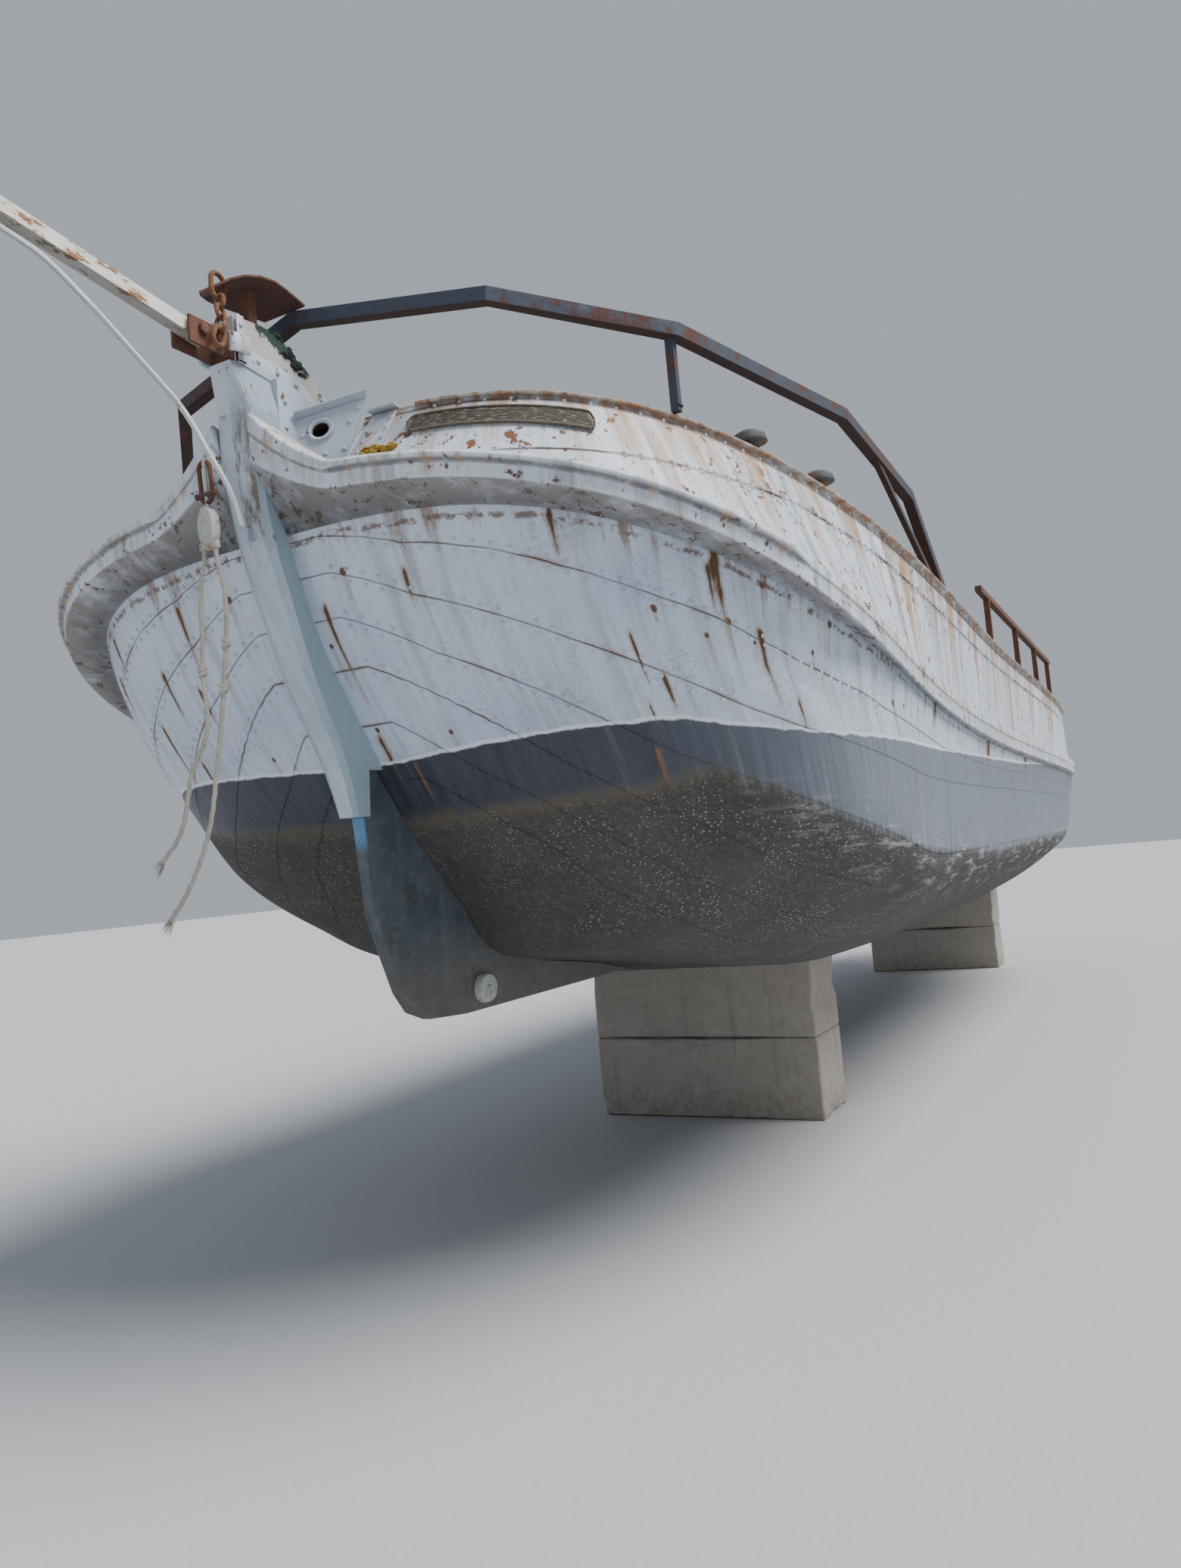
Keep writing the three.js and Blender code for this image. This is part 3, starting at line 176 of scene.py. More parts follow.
# A closed mesh, with its place in its points. Extra maps are given as one pair for each point.
def make_mesh(name, points, faces, maps=None, smooth=True, outwards=True):
    mesh = bpy.data.meshes.new(name)
    mesh.from_pydata([tuple(p) for p in points], [], faces)
    if maps:
        corner = [loop.vertex_index for loop in mesh.loops]
        for title, pairs in maps.items():
            layer = mesh.uv_layers.new(name=title)
            layer.uv.foreach_set("vector", [v for i in corner for v in pairs[i]])
    mesh.polygons.foreach_set("use_smooth", [smooth] * len(mesh.polygons))
    if outwards:
        shape = bmesh.new()
        shape.from_mesh(mesh)
        bmesh.ops.recalc_face_normals(shape, faces=shape.faces)
        shape.to_mesh(mesh)
        shape.free()
    piece = bpy.data.objects.new(name, mesh)
    bpy.context.scene.collection.objects.link(piece)
    return piece


# A skin through rings of points, with both ends closed
def loft(name, rings, maps=None, smooth=True):
    size = len(rings[0])
    points = [p for ring in rings for p in ring]
    faces = [(r * size + i, r * size + (i + 1) % size, (r + 1) * size + (i + 1) % size,
              (r + 1) * size + i) for r in range(len(rings) - 1) for i in range(size)]
    faces += [tuple(range(size)), tuple(range((len(rings) - 1) * size, len(rings) * size))]
    return make_mesh(name, points, faces, maps, smooth)


def join(name, pieces):
    with bpy.context.temp_override(active_object=pieces[0], selected_editable_objects=pieces):
        bpy.ops.object.join()
    pieces[0].name = name
    return pieces[0]


# The primitive just added, with its place in its points
def settled(name):
    bpy.ops.object.transform_apply(location=True, rotation=True, scale=True)
    piece = bpy.context.object
    piece.name = name
    return piece


def put_on(piece, body, slot, finish, *nodes):
    if not piece.data.materials:
        piece.data.materials.append(finish)
    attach(piece, body)
    if nodes:
        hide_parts(*nodes)
    return piece


# A smooth curve from b to c, on its way from a to d
def curve(a, b, c, d, t):
    return 0.5 * (2 * b + (c - a) * t + (2 * a - 5 * b + 4 * c - d) * t * t
                  + (3 * b - a - 3 * c + d) * t ** 3)


def smooth_path(points, step):
    ends = [points[0] * 2 - points[1], *points, points[-1] * 2 - points[-2]]
    path = []
    for a, b, c, d in zip(ends, ends[1:], ends[2:], ends[3:]):
        count = max(2, round((c - b).length / step))
        path += [curve(a, b, c, d, i / count) for i in range(count)]
    return [*path, points[-1]]


def strand_rings(path, radius, lay, sides):
    rings = []
    strands = 3
    side = Vector((1, 0, 0))
    run = 0.0
    for i, point in enumerate(path):
        along = (path[min(i + 1, len(path) - 1)] - path[max(i - 1, 0)]).normalized()
        side = (side - along * side.dot(along)).normalized()
        other = along.cross(side)
        run += (point - path[i - 1]).length if i else 0
        ring = []
        for k in range(sides):
            turn = 2 * math.pi * k / sides
            lobe = abs(math.cos(strands / 2 * turn - run / lay * (strands / 2) * 2 * math.pi / strands))
            reach = radius * (0.66 + 0.34 * lobe ** 0.8)
            ring.append(point + (side * math.cos(turn) + other * math.sin(turn)) * reach)
        rings.append(ring)
    return rings


rope_finish, shader, place = new_finish("frayed_rope")
fibres = cloudy(stretched(place, (260, 260, 60)), 1.0, 6, 0.7)
soil = cloudy(place, 9, 4)
colour = tint(soil, (0.74, 0.71, 0.64), (0.4, 0.36, 0.3))
colour = tint(spread(fibres, 0.35, 0.7), tint(0.6, colour, (0.2, 0.17, 0.14)), colour)
dress(shader, colour, 0.95, fibres, 0.004)

block_shackle_x = 7.775
rope_routes = {
    "rope_tail_short": [(125, -113), (125, -114), (126, -124), (128, -135), (130, -142), (130, -145),
                        (130, -146), (130, -150), (130, -157), (130, -161), (130, -157), (130, -150),
                        (130, -149), (130, -161), (130, -188), (130, -224), (130, -258), (130, -284),
                        (130, -314), (130, -368), (130, -458)],
    "rope_tail_long": [(125, -49), (125, -48), (121, -44), (114, -39), (107, -36), (103, -38),
                       (101, -45), (100, -54), (100, -64), (100, -76), (100, -89), (100, -101),
                       (100, -115), (100, -131), (100, -149), (100, -169), (100, -192), (100, -222),
                       (100, -262), (100, -318), (100, -386), (100, -462)],
}
rope_heights = {
    "rope_tail_short": [3377.7, 3345, 3305, 3260, 3210, 3150, 3080, 3010, 2945, 2890, 2830, 2765, 2700,
                        2640, 2590, 2545, 2485, 2400, 2305, 2225, 2150],
    "rope_tail_long": [3377.7, 3345, 3305, 3255, 3200, 3130, 3065, 2995, 2920, 2845, 2775, 2710, 2640,
                       2565, 2490, 2400, 2313, 2235, 2155, 2068, 1985, 1912],
}
rope_knots = {"rope_tail_short": [2912, 2892], "rope_tail_long": [2993, 2813]}
rope_radius = 0.01
rope_lay = 0.062
for name, route in rope_routes.items():
    heights = rope_heights[name]
    points = [Vector((x / 1000 + block_shackle_x, y / 1000, z / 1000)) for (x, y), z in zip(route, heights)]
    path = smooth_path(points, 0.007)
    rope = loft(name + "_laid", strand_rings(path, rope_radius, rope_lay, 18))
    rope.data.materials.append(rope_finish)
    along = (path[-1] - path[-4]).normalized()
    hairs = []
    for i in range(26):
        spray = Vector((random.uniform(-1, 1), random.uniform(-1, 1), random.uniform(-1, 1)))
        reach = random.uniform(0.03, 0.075)
        start = path[-1] - along * 0.012 + spray * 0.004
        tip = start + (along * 0.8 + spray * 0.35 + Vector((0, 0, -0.25))) * reach
        middle = start.lerp(tip, 0.5) + spray * 0.006
        rings = []
        for spot, wide in ((start, 0.0022), (middle, 0.0016), (tip, 0.0006)):
            rings.append([spot + Vector((wide, 0, 0)), spot + Vector((-wide / 2, wide, 0)),
                          spot + Vector((-wide / 2, -wide, 0))])
        hairs.append(loft("hair", rings))
    fray = join(name + "_fray", hairs)
    knots = []
    for height in rope_knots[name]:
        spot = min(path, key=lambda p: abs(p.z - height / 1000))
        for tilt, lift in ((0.5, -0.009), (-0.45, 0.009)):
            bpy.ops.mesh.primitive_torus_add(major_segments=28, minor_segments=10, major_radius=0.0125,
                                             minor_radius=0.0085, location=spot + Vector((0, 0, lift)),
                                             rotation=(tilt, tilt / 2, 0))
            knots.append(settled("knot"))
            bpy.ops.object.shade_smooth()
    knot = join(name + "_knots", knots)
    for piece in (fray, knot):
        piece.data.materials.clear()
        put_on(piece, "barge", "rope", rope_finish)
    put_on(rope, "barge", "rope", rope_finish, name)
    length = sum((b - a).length for a, b in zip(path, path[1:]))
    print("cord", name, round(length, 3))
    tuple(path[0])
bpy.ops.object.select_all(action="DESELECT")


# Hull plating
# Riveted steel plates run round the bow in overlapping strakes, painted white down to a waved edge.
# Below it is slate-coloured bottom paint, a scum line, and grey-brown antifouling with barnacles.
stem_face_x = 7.775
level_columns = ("bow_x", "stern_x", "bow_z", "mid_z", "stern_z", "beam", "entry", "run", "n", "m",
                 "aft_n", "aft_m", "rise", "power", "lift")
level_rows = {
    "floor": (-2.669, -14.9, 1.406, 1.2004, 1.3, 1.003, 3.468, 6.026, 2.17, 2.36, 2.6, 2.5, 1.788, 2, 0.6),
    "low_bilge": (-1.6, -15.2, 1.575, 1.431, 1.733, 1.498, 2.927, 6.696, 2.35, 2.71, 2.8, 2.6, 2.3, 2, 6),
    "high_bilge": (-1.303, -15.5, 1.833, 1.662, 2.026, 1.826, 2.395, 6.979, 2.48, 2.98, 3, 2.7, 2.3, 2, 6),
    "low_side": (-0.969, -15.75, 2.162, 1.86, 2.218, 1.975, 2.104, 7.237, 2.55, 3.27, 3.1, 2.7, 2.953, 2, 5),
    "paint_line": (-0.69, -16, 2.49, 2.298, 2.501, 2.031, 2.149, 7.274, 2.6, 3.31, 3.1, 2.7, 3.549, 2.2, 4),
    "topside": (-0.32, -16.2, 3.003, 2.444, 2.72, 2.058, 2.351, 7.435, 2.59, 3.16, 3.1, 2.7, 6.019, 3.2, 4),
    "wale_low": (-0.13, -16.4, 3.45, 2.563, 2.969, 2.075, 2.589, 7.72, 2.6, 3.13, 3.1, 2.7, 12.2, 6.5, 5),
    "deck_edge": (-0.13, -16.4, 3.59, 2.72, 3.11, 2.075, 2.589, 7.72, 2.6, 3.13, 3.1, 2.7, 12.2, 6.5, 5),
    "wale_face": (0.058, -16.46, 3.508, 2.583, 2.97, 2.115, 2.599, 7.9, 3.32, 2.81, 3.1, 2.7, 13.24, 7.8, 5),
    "cap_line": (-0.433, -16.23, 3.997, 3.382, 3.703, 2.08, 4.594, 8.187, 3, 3.25, 2.9, 2.7, 6.652, 2.57, 5),
}
levels = {name: dict(zip(level_columns, row)) for name, row in level_rows.items()}
hull_levels = list(levels)[:8]


def level_height(level, x):
    fore = max(0.0, 1 - (level["bow_x"] - x) / level["rise"])
    aft = max(0.0, 1 - (x - level["stern_x"]) / level["lift"])
    return (level["mid_z"] + (level["bow_z"] - level["mid_z"]) * fore ** level["power"]
            + (level["stern_z"] - level["mid_z"]) * aft ** 2)


# Station 0 is the stem, 1 the end of the bow, 2 the start of the stern and 3 the sternpost
def level_point(name, station):
    level = levels[name]
    fore_end = level["bow_x"] - level["entry"]
    aft_end = level["stern_x"] + level["run"]
    turn = math.pi / 2 * (station if station <= 1 else 3 - station if station >= 2 else 1)
    n, m = (level["n"], level["m"]) if station <= 1.5 else (level["aft_n"], level["aft_m"])
    reach = 1 - max(0.0, math.cos(turn)) ** (2 / n)
    y = level["beam"] * max(0.0, math.sin(turn)) ** (2 / m)
    x = fore_end + (aft_end - fore_end) * (station - 1)
    if station < 1:
        x = level["bow_x"] - level["entry"] * reach
    if station > 2:
        x = level["stern_x"] + level["run"] * reach
    return Vector((x + stem_face_x, 0 if station in (0, 3) else y, level_height(level, x)))


def across_levels(column, rise):
    k = min(int(rise), 6)
    t = rise - k
    b, c = column[k], column[k + 1]
    if k == 6:
        return b.lerp(c, t)
    a = column[k - 1] if k else b * 2 - c
    return curve(a, b, c, column[k + 2], t)


def read_off(table, station):
    keys = sorted(table)
    if station <= keys[0]:
        return table[keys[0]]
    for low, high in zip(keys, keys[1:]):
        if station <= high:
            return table[low] + (table[high] - table[low]) * (station - low) / (high - low)
    return table[keys[-1]]


# Where each strake's lap runs: station, and how far up between the levels
strake_laps = [
    {0.02: 3.9, 0.072: 3.2, 0.133: 2.7, 0.186: 2.2, 0.263: 1.8, 0.461: 1.1, 0.65: 0.8, 1: 0.45, 3: 0.4},
    {0.02: 4.4, 0.072: 3.9, 0.133: 3.4, 0.186: 3.0, 0.263: 2.6, 0.461: 1.85, 0.65: 1.5, 1: 1.1, 3: 1.1},
    {0.024: 4.81, 0.072: 4.54, 0.133: 4.196, 0.186: 3.851, 0.263: 3.418, 0.461: 2.718, 0.65: 2.35, 1: 2,
     3: 2.1},
    {0.02: 5.209, 0.091: 4.828, 0.204: 4.455, 0.272: 4.215, 0.358: 3.898, 0.487: 3.612, 0.65: 3.35, 1: 3,
     3: 3.1},
    {0.023: 5.559, 0.092: 5.278, 0.182: 5.06, 0.265: 4.858, 0.372: 4.651, 0.427: 4.548, 0.528: 4.363,
     0.614: 4.248, 1: 3.95, 3: 4},
    {0.022: 5.9, 0.095: 5.687, 0.204: 5.558, 0.284: 5.445, 0.389: 5.318, 0.508: 5.215, 0.572: 5.117,
     0.783: 4.946, 1: 4.85, 3: 5},
]
paint_edge_height = {0: 2.515, 0.014: 2.518, 0.044: 2.53, 0.092: 2.542, 0.15: 2.551, 0.215: 2.559,
                     0.295: 2.558,
                     0.383: 2.558, 0.493: 2.517, 0.656: 2.479, 1.06: 2.461, 1.63: 2.505, 2.33: 2.63, 3: 2.8}
slate_foot_height = {0: 2.27, 0.1: 2.28, 0.28: 2.3, 0.414: 2.35, 0.561: 2.22, 0.752: 2.06, 1.02: 1.9,
                     1.5: 1.82, 3: 1.95}
# Rust runs: station, how far up, length and half width
port_rust = [(0.52, 5.913, 0.36, 0.02), (0.505, 5.7, 0.2, 0.016), (0.512, 5.8, 0.14, 0.012),
             (0.383, 4.548, 0.16, 0.012),
             (0.355, 4.869, 0.2, 0.01), (0.325, 3.9, 0.5, 0.014), (0.335, 3.3, 0.3, 0.018), (0.34, 4.3,
                                                                                             0.12, 0.012),
             (0.092, 5.395, 0.13, 0.012), (0.013, 5.3, 0.45, 0.012), (0.585, 5.15, 0.3, 0.02), (0.625, 4.5,
                                                                                                0.12, 0.012),
             (0.285, 5.9, 0.17, 0.018), (0.008, 4.25, 0.3, 0.014), (0.02, 4.0, 0.25, 0.012), (1.05, 5.9,
                                                                                              0.14, 0.02),
             (1.35, 5.8, 0.2, 0.03), (1.7, 5.9, 0.2, 0.02), (2.1, 5.8, 0.2, 0.03)]
starboard_rust = [(0.10, 5.6, 0.3, 0.014), (0.18, 5.1, 0.25, 0.016), (0.26, 4.7, 0.35, 0.012),
                  (0.2, 4.3, 0.2, 0.014),
                  (0.36, 5.4, 0.2, 0.02), (0.44, 4.9, 0.3, 0.015), (0.3, 5.7, 0.16, 0.02), (0.12, 4.9, 0.2,
                                                                                            0.012),
                  (0.6, 5.6, 0.25, 0.02), (0.8, 5.2, 0.2, 0.03), (1.2, 5.7, 0.3, 0.03), (1.6, 5.8, 0.2, 0.02)]
# Dents: station, how far up, depth and half width
port_dents = [(0.62, 5.45, 0.013, 0.14), (0.66, 4.95, 0.017, 0.17), (0.56, 4.85, 0.011, 0.13),
              (0.75, 5.3, 0.012, 0.2), (0.72, 4.6, 0.012, 0.16), (0.88, 5.1, 0.01, 0.2), (0.5, 4.4, 0.007,
                                                                                          0.14),
              (1.1, 5.3, 0.008, 0.3), (0.42, 5.1, 0.005, 0.18)]
bow_columns, side_columns, stern_columns, hull_rows = 300, 46, 88, 78
hull_stations = [(i / bow_columns) ** 1.25 for i in range(bow_columns + 1)]
hull_stations += [1 + (i / side_columns) ** 1.3 for i in range(1, side_columns + 1)]
hull_stations += [3 - (1 - i / stern_columns) ** 1.25 for i in range(1, stern_columns + 1)]
hull_rises = [6 * j / (hull_rows - 2) for j in range(hull_rows - 1)] + [7]
girth = [0.0]
for first, second in zip(hull_stations, hull_stations[1:]):
    step = (level_point("topside", second) - level_point("topside", first)).length
    girth.append(girth[-1] + step)


def along_side(station):
    i = min(range(len(hull_stations)), key=lambda k: abs(hull_stations[k] - station))
    return girth[i]


def hull_side(side, rust_runs, dents):
    runs = [(along_side(s), across_levels([level_point(n, s) for n in hull_levels], rise).z, length, wide)
            for s, rise, length, wide in rust_runs]
    hollows = [(along_side(s), across_levels([level_point(n, s) for n in hull_levels], rise).z, deep, wide)
               for s, rise, deep, wide in dents]
    points, run_map, lap_map, paint_map, marks = [], [], [], [], []
    for i, station in enumerate(hull_stations):
        column = [level_point(name, station) for name in hull_levels]
        before = level_point("topside", max(0, station - 0.01))
        after = level_point("topside", min(3, station + 0.01))
        out = Vector((after.y - before.y, before.x - after.x, 0)).normalized()
        laps = [0, *(read_off(lap, station) for lap in strake_laps), 6.3, 7.3]
        edge = read_off(paint_edge_height, station)
        foot = read_off(slate_foot_height, station)
        for rise in hull_rises:
            point = across_levels(column, rise)
            k = max(j for j in range(len(laps) - 1) if laps[j] <= rise)
            lap = k + (rise - laps[k]) / (laps[k + 1] - laps[k])
            rust = 0.0
            for place_along, top, length, wide in runs:
                drop = top - point.z
                if -0.03 < drop < length and abs(girth[i] - place_along) < 4 * wide:
                    narrow = wide * (1 - 0.55 * max(0, drop) / length)
                    fade = 1 - (max(0, drop) / length) ** 2
                    rust = max(rust, fade * math.exp(-((girth[i] - place_along) / narrow) ** 2))
            soft = 0.0
            if 1.2 < rise < 6:
                wave = noise.noise(Vector((girth[i] * 1.6, side * 5, point.z * 2.2)))
                soft = 0.0035 * wave * min(1, (rise - 1.2) / 1.5) * min(1, (6 - rise) / 0.6)
            for place_along, high, deep, wide in hollows:
                away = ((girth[i] - place_along) / wide) ** 2 + ((point.z - high) / (wide * 0.62)) ** 2
                soft -= 1.5 * deep * math.exp(-away)
            growth = 0.25 + 0.75 * min(1, girth[i] / 2.2)
            scuff = math.exp(-((point.z - foot + 0.1) / 0.16) ** 2) * min(1, max(0, girth[i] - 1.6))
            if 0 < station < 3:
                point = point + out * soft
            points.append((point.x, side * point.y, point.z))
            run_map.append((girth[i], point.z))
            lap_map.append((rise, lap))
            paint_map.append((point.z - edge, point.z - foot))
            marks.append((rust, growth, scuff, column[6].z - point.z))
    return points, run_map, lap_map, paint_map, marks


count = len(hull_stations)
port_side = hull_side(1, port_rust, port_dents)
starboard_side = hull_side(-1, starboard_rust, [(s, r, d * 0.6, w) for s, r, d, w in port_dents])
hull_points = [*port_side[0], *starboard_side[0]]
offset = count * hull_rows
hull_faces, deck_faces = [], []
for i in range(count - 1):
    for j in range(hull_rows - 1):
        a, b = i * hull_rows + j, (i + 1) * hull_rows + j
        hull_faces.append((a, b, b + 1, a + 1))
        hull_faces.append((offset + a, offset + a + 1, offset + b + 1, offset + b))
    low_a, low_b = i * hull_rows, (i + 1) * hull_rows
    hull_faces.append((low_b, low_a, offset + low_a, offset + low_b))
    top_a, top_b = low_a + hull_rows - 1, low_b + hull_rows - 1
    deck_faces.append((top_a, top_b, offset + top_b, offset + top_a))
hull_maps = {name: [*port_side[k], *starboard_side[k]]
             for k, name in ((1, "run"), (2, "plating"), (3, "paint"))}
hull_piece = make_mesh("riveted_hull", hull_points, [*hull_faces, *deck_faces], hull_maps, outwards=False)
marks = hull_piece.data.color_attributes.new("marks", "FLOAT_COLOR", "POINT")
marks.data.foreach_set("color", [v for row in (*port_side[4], *starboard_side[4]) for v in row])
shape = bmesh.new()
shape.from_mesh(hull_piece.data)
bmesh.ops.remove_doubles(shape, verts=[v for v in shape.verts if abs(v.co.y) < 1e-4], dist=1e-5)
bmesh.ops.recalc_face_normals(shape, faces=shape.faces)
for face in shape.faces:
    across = min(v.co.y for v in face.verts) < -1e-4 and max(v.co.y for v in face.verts) > 1e-4
    face.material_index = 1 if across and min(v.co.z for v in face.verts) > 2.6 else 0
    face.smooth = face.material_index == 0
for edge in shape.edges:
    if len({face.material_index for face in edge.link_faces}) > 1:
        edge.smooth = False
shape.to_mesh(hull_piece.data)
shape.free()


# Weathered paint over steel: chalky patches, grime running down, rust runs and small chips
weathered = bpy.data.node_groups.new("weathered_paint", "ShaderNodeTree")
for title, kind in (("Place", "NodeSocketVector"), ("Run", "NodeSocketVector"), ("Paint", "NodeSocketColor"),
                    ("Chalked", "NodeSocketColor"), ("Grime", "NodeSocketFloat"), ("Rust", "NodeSocketFloat"),
                    ("Chips", "NodeSocketFloat")):
    weathered.interface.new_socket(title, in_out="INPUT", socket_type=kind)
for title, kind in (("Colour", "NodeSocketColor"), ("Roughness", "NodeSocketFloat"),
                    ("Height", "NodeSocketFloat"), ("Rusted", "NodeSocketFloat")):
    weathered.interface.new_socket(title, in_out="OUTPUT", socket_type=kind)
given = weathered.nodes.new("NodeGroupInput").outputs
broad = cloudy(given["Place"], 1.3, 5, 0.6)
mottled = cloudy(given["Place"], 6, 6, 0.65)
fine = cloudy(given["Place"], 45, 6, 0.7)
colour = tint(spread(broad, 0.35, 0.65), given["Paint"], given["Chalked"])
colour = tint(spread(mottled, 0.45, 0.75, 0, 0.16), colour, (0.33, 0.33, 0.33))
drips = cloudy(stretched(given["Run"], (11, 0.7, 1)), 1.0, 7, 0.62)
drip_share = times(spread(drips, 0.48, 0.72), given["Grime"])
colour = tint(drip_share, colour, (0.2, 0.19, 0.175))
rust_runs = cloudy(stretched(given["Run"], (17, 1.1, 1), (3, 7, 0)), 1.0, 5, 0.6)
rust_patch = cloudy(stretched(given["Place"], (1, 1, 1), (5, 2, 8)), 2.2, 4, 0.6)
run_share = times(spread(rust_runs, 0.6, 0.72),
                   spread(rust_patch, 0.45, 0.62))
run_share = times(run_share, given["Rust"])
colour = tint(run_share, colour, tint(fine, (0.33, 0.15, 0.05), (0.55, 0.33, 0.15)))
chip_noise = cloudy(stretched(given["Place"], (1, 1, 0.8), (9, 4, 1)), 17, 8, 0.72)
chip_edge = minus(0.80, times(given["Chips"], 0.2))
chip_edge_soft = plus(chip_edge, 0.02)
chips = spread(plus(chip_noise, spread(rust_patch, 0.3, 0.8, 0, 0.12)),
               chip_edge, chip_edge_soft)
colour = tint(chips, colour, tint(fine, (0.075, 0.03, 0.018), (0.3, 0.12, 0.05)))
rusted = larger(chips, run_share)
height = minus(times(fine, 0.25),
                times(chips, 0.7))
result = weathered.nodes.new("NodeGroupOutput")
for title, value in (("Colour", colour), ("Roughness", spread(rusted, 0, 1, 0.5, 0.9)),
                     ("Height", height), ("Rusted", rusted)):
    weathered.links.new(value, result.inputs[title])


def weather(place, run, paint, chalked, grime, rust, chips):
    tree = place.id_data
    node = tree.nodes.new("ShaderNodeGroup")
    node.node_tree = weathered
    for title, value in (("Place", place), ("Run", run)):
        tree.links.new(value, node.inputs[title])
    for title, value in (("Paint", paint), ("Chalked", chalked)):
        if isinstance(value, bpy.types.NodeSocket):
            tree.links.new(value, node.inputs[title])
        else:
            node.inputs[title].default_value = (*value, 1)
    for title, value in (("Grime", grime), ("Rust", rust), ("Chips", chips)):
        node.inputs[title].default_value = value
    return node.outputs


def parts_of(place):
    return add_node(place.id_data, "SeparateXYZ", {0: place}).outputs


def facing_of(place):
    return parts_of(add_node(place.id_data, "TexCoord").outputs["Normal"])


def map_of(place, name):
    return add_node(place.id_data, "UVMap", uv_map=name).outputs[0]


def specks(place, scale):
    return add_node(place.id_data, "TexVoronoi", {"Vector": place, "Scale": scale}).outputs["Distance"]


# On flat pieces the runs follow the height, so both level directions share one pattern
def level_run(place):
    parts = parts_of(place)
    round_boat = plus(parts[0], times(parts[1], 1.3))
    return add_node(place.id_data, "CombineXYZ", {0: round_boat, 1: parts[2], 2: 0.0}).outputs[0]


hull_finish, shader, place = new_finish("hull_topsides_and_bottom")
tree = hull_finish.node_tree
run = map_of(place, "run")
plating = map_of(place, "plating")
paint_place = parts_of(map_of(place, "paint"))
marks = add_node(tree, "Attribute", attribute_name="marks").outputs
mark_parts = add_node(tree, "SeparateColor", {0: marks["Color"]}).outputs
lap_parts = parts_of(plating)
girth_place = parts_of(run)[0]
wobble = cloudy(run, 9, 5, 0.6)
fine = cloudy(place, 60, 5, 0.7)
# The white is given a cool blue cast: partly the paint's own tone, partly painted sky light.
white = weather(place, run, (0.5, 0.585, 0.72), (0.62, 0.69, 0.79), 0.6, 0.3, 0.1)
# Laps: a dark rusty line and a step along each strake
lap_share = reckon("FRACT", plus(lap_parts[1], times(wobble, 0.006)))
lap_line = spread(unsigned(minus(lap_share, 0.5)), 0.482, 0.496)
lap_rusty = spread(unsigned(minus(lap_share, 0.5)), 0.44, 0.5)
patchy = cloudy(stretched(run, (1, 1, 1), (2, 5, 0)), 3.5, 4, 0.6)
lap_rusty = times(lap_rusty, spread(patchy, 0.52, 0.66))
lap_dark = times(lap_line, spread(patchy, 0.3, 0.6, 0.45, 1))
colour = tint(times(lap_rusty, 0.75), white["Colour"], (0.34, 0.17, 0.08))
colour = tint(lap_dark, colour, (0.10, 0.06, 0.05))
# Rusty dribbles in the shelter of the strake
sheltered = spread(marks["Alpha"], 0.36, 0.02)
dribble = cloudy(stretched(run, (13, 1.6, 1), (1, 6, 0)), 1.0, 7, 0.68)
dribble = spread(plus(dribble, times(sheltered, 0.16)), 0.66, 0.73)
dribble = times(dribble, times(sheltered, spread(patchy, 0.36, 0.6)))
colour = tint(times(dribble, 0.85), colour, tint(fine, (0.1, 0.05, 0.03), (0.4, 0.22, 0.12)))
# A thick crust of rust close under the strake, and round spots with a brown smear under each
crust = unsigned(plus(minus(marks["Alpha"], 0.065),
                                       times(wobble, 0.06)))
crust = times(spread(crust, 0.016, 0.006), spread(cloudy(place, 24, 6, 0.7), 0.46, 0.54))
crust = times(crust, spread(girth_place, 4.2, 3.2, 0.3, 1.0))
colour = tint(times(crust, 0.85), colour, tint(fine, (0.05, 0.03, 0.022), (0.26, 0.13, 0.065)))
spot = add_node(tree, "TexVoronoi", {"Vector": run, "Scale": 3.1}, voronoi_dimensions="2D")
spot_kind = add_node(tree, "SeparateColor", {0: spot.outputs["Color"]}).outputs
from_spot = add_node(tree, "VectorMath", {0: run, 1: spot.outputs["Position"]},
                     operation="SUBTRACT").outputs[0]
from_spot = parts_of(from_spot)
spot_size = plus(spot.outputs["Distance"], times(spot_kind[0], -0.03))
spot_size = plus(spot_size, times(fine, 0.03))
spot_share = times(spread(spot_size, 0.042, 0.026), spread(spot_kind[2], 0.35, 0.36))
smear = plus(unsigned(from_spot[0]), times(wobble, 0.02))
smear = times(spread(smear, 0.026, 0.008), spread(from_spot[1], 0.004, -0.004))
smear = times(smear, spread(times(from_spot[1], spot_kind[1]), -0.1, -0.01))
smear = times(smear, spread(spot_kind[2], 0.35, 0.36, 0, 0.6))
colour = tint(smear, colour, (0.3, 0.19, 0.1))
colour = tint(spot_share, colour, tint(fine, (0.05, 0.025, 0.018), (0.2, 0.09, 0.05)))
# Plate ends, three metres apart, in the doubled plating along the waterline and faint above
plate_end = unsigned(minus(reckon("FRACT", times(minus(girth_place, 4.3), 1 / 3.03)), 0.5))
plate_end = times(spread(plate_end, 0.4982, 0.4992), spread(girth_place, 3.8, 3.9))
# Rust runs placed one by one
placed = plus(mark_parts[0], times(minus(wobble, 0.5), 0.9))
placed = times(spread(placed, 0.42, 0.78), spread(mark_parts[0], 0.05, 0.25))
halo = times(spread(mark_parts[0], 0.02, 0.35), spread(wobble, 0.3, 0.6, 0.2, 0.7))
colour = tint(halo, colour, (0.36, 0.25, 0.14))
rust_colour = tint(fine, (0.04, 0.022, 0.013), (0.2, 0.1, 0.045))
colour = tint(placed, colour, rust_colour)
colour = tint(times(plate_end, 0.25), colour, (0.2, 0.18, 0.17))
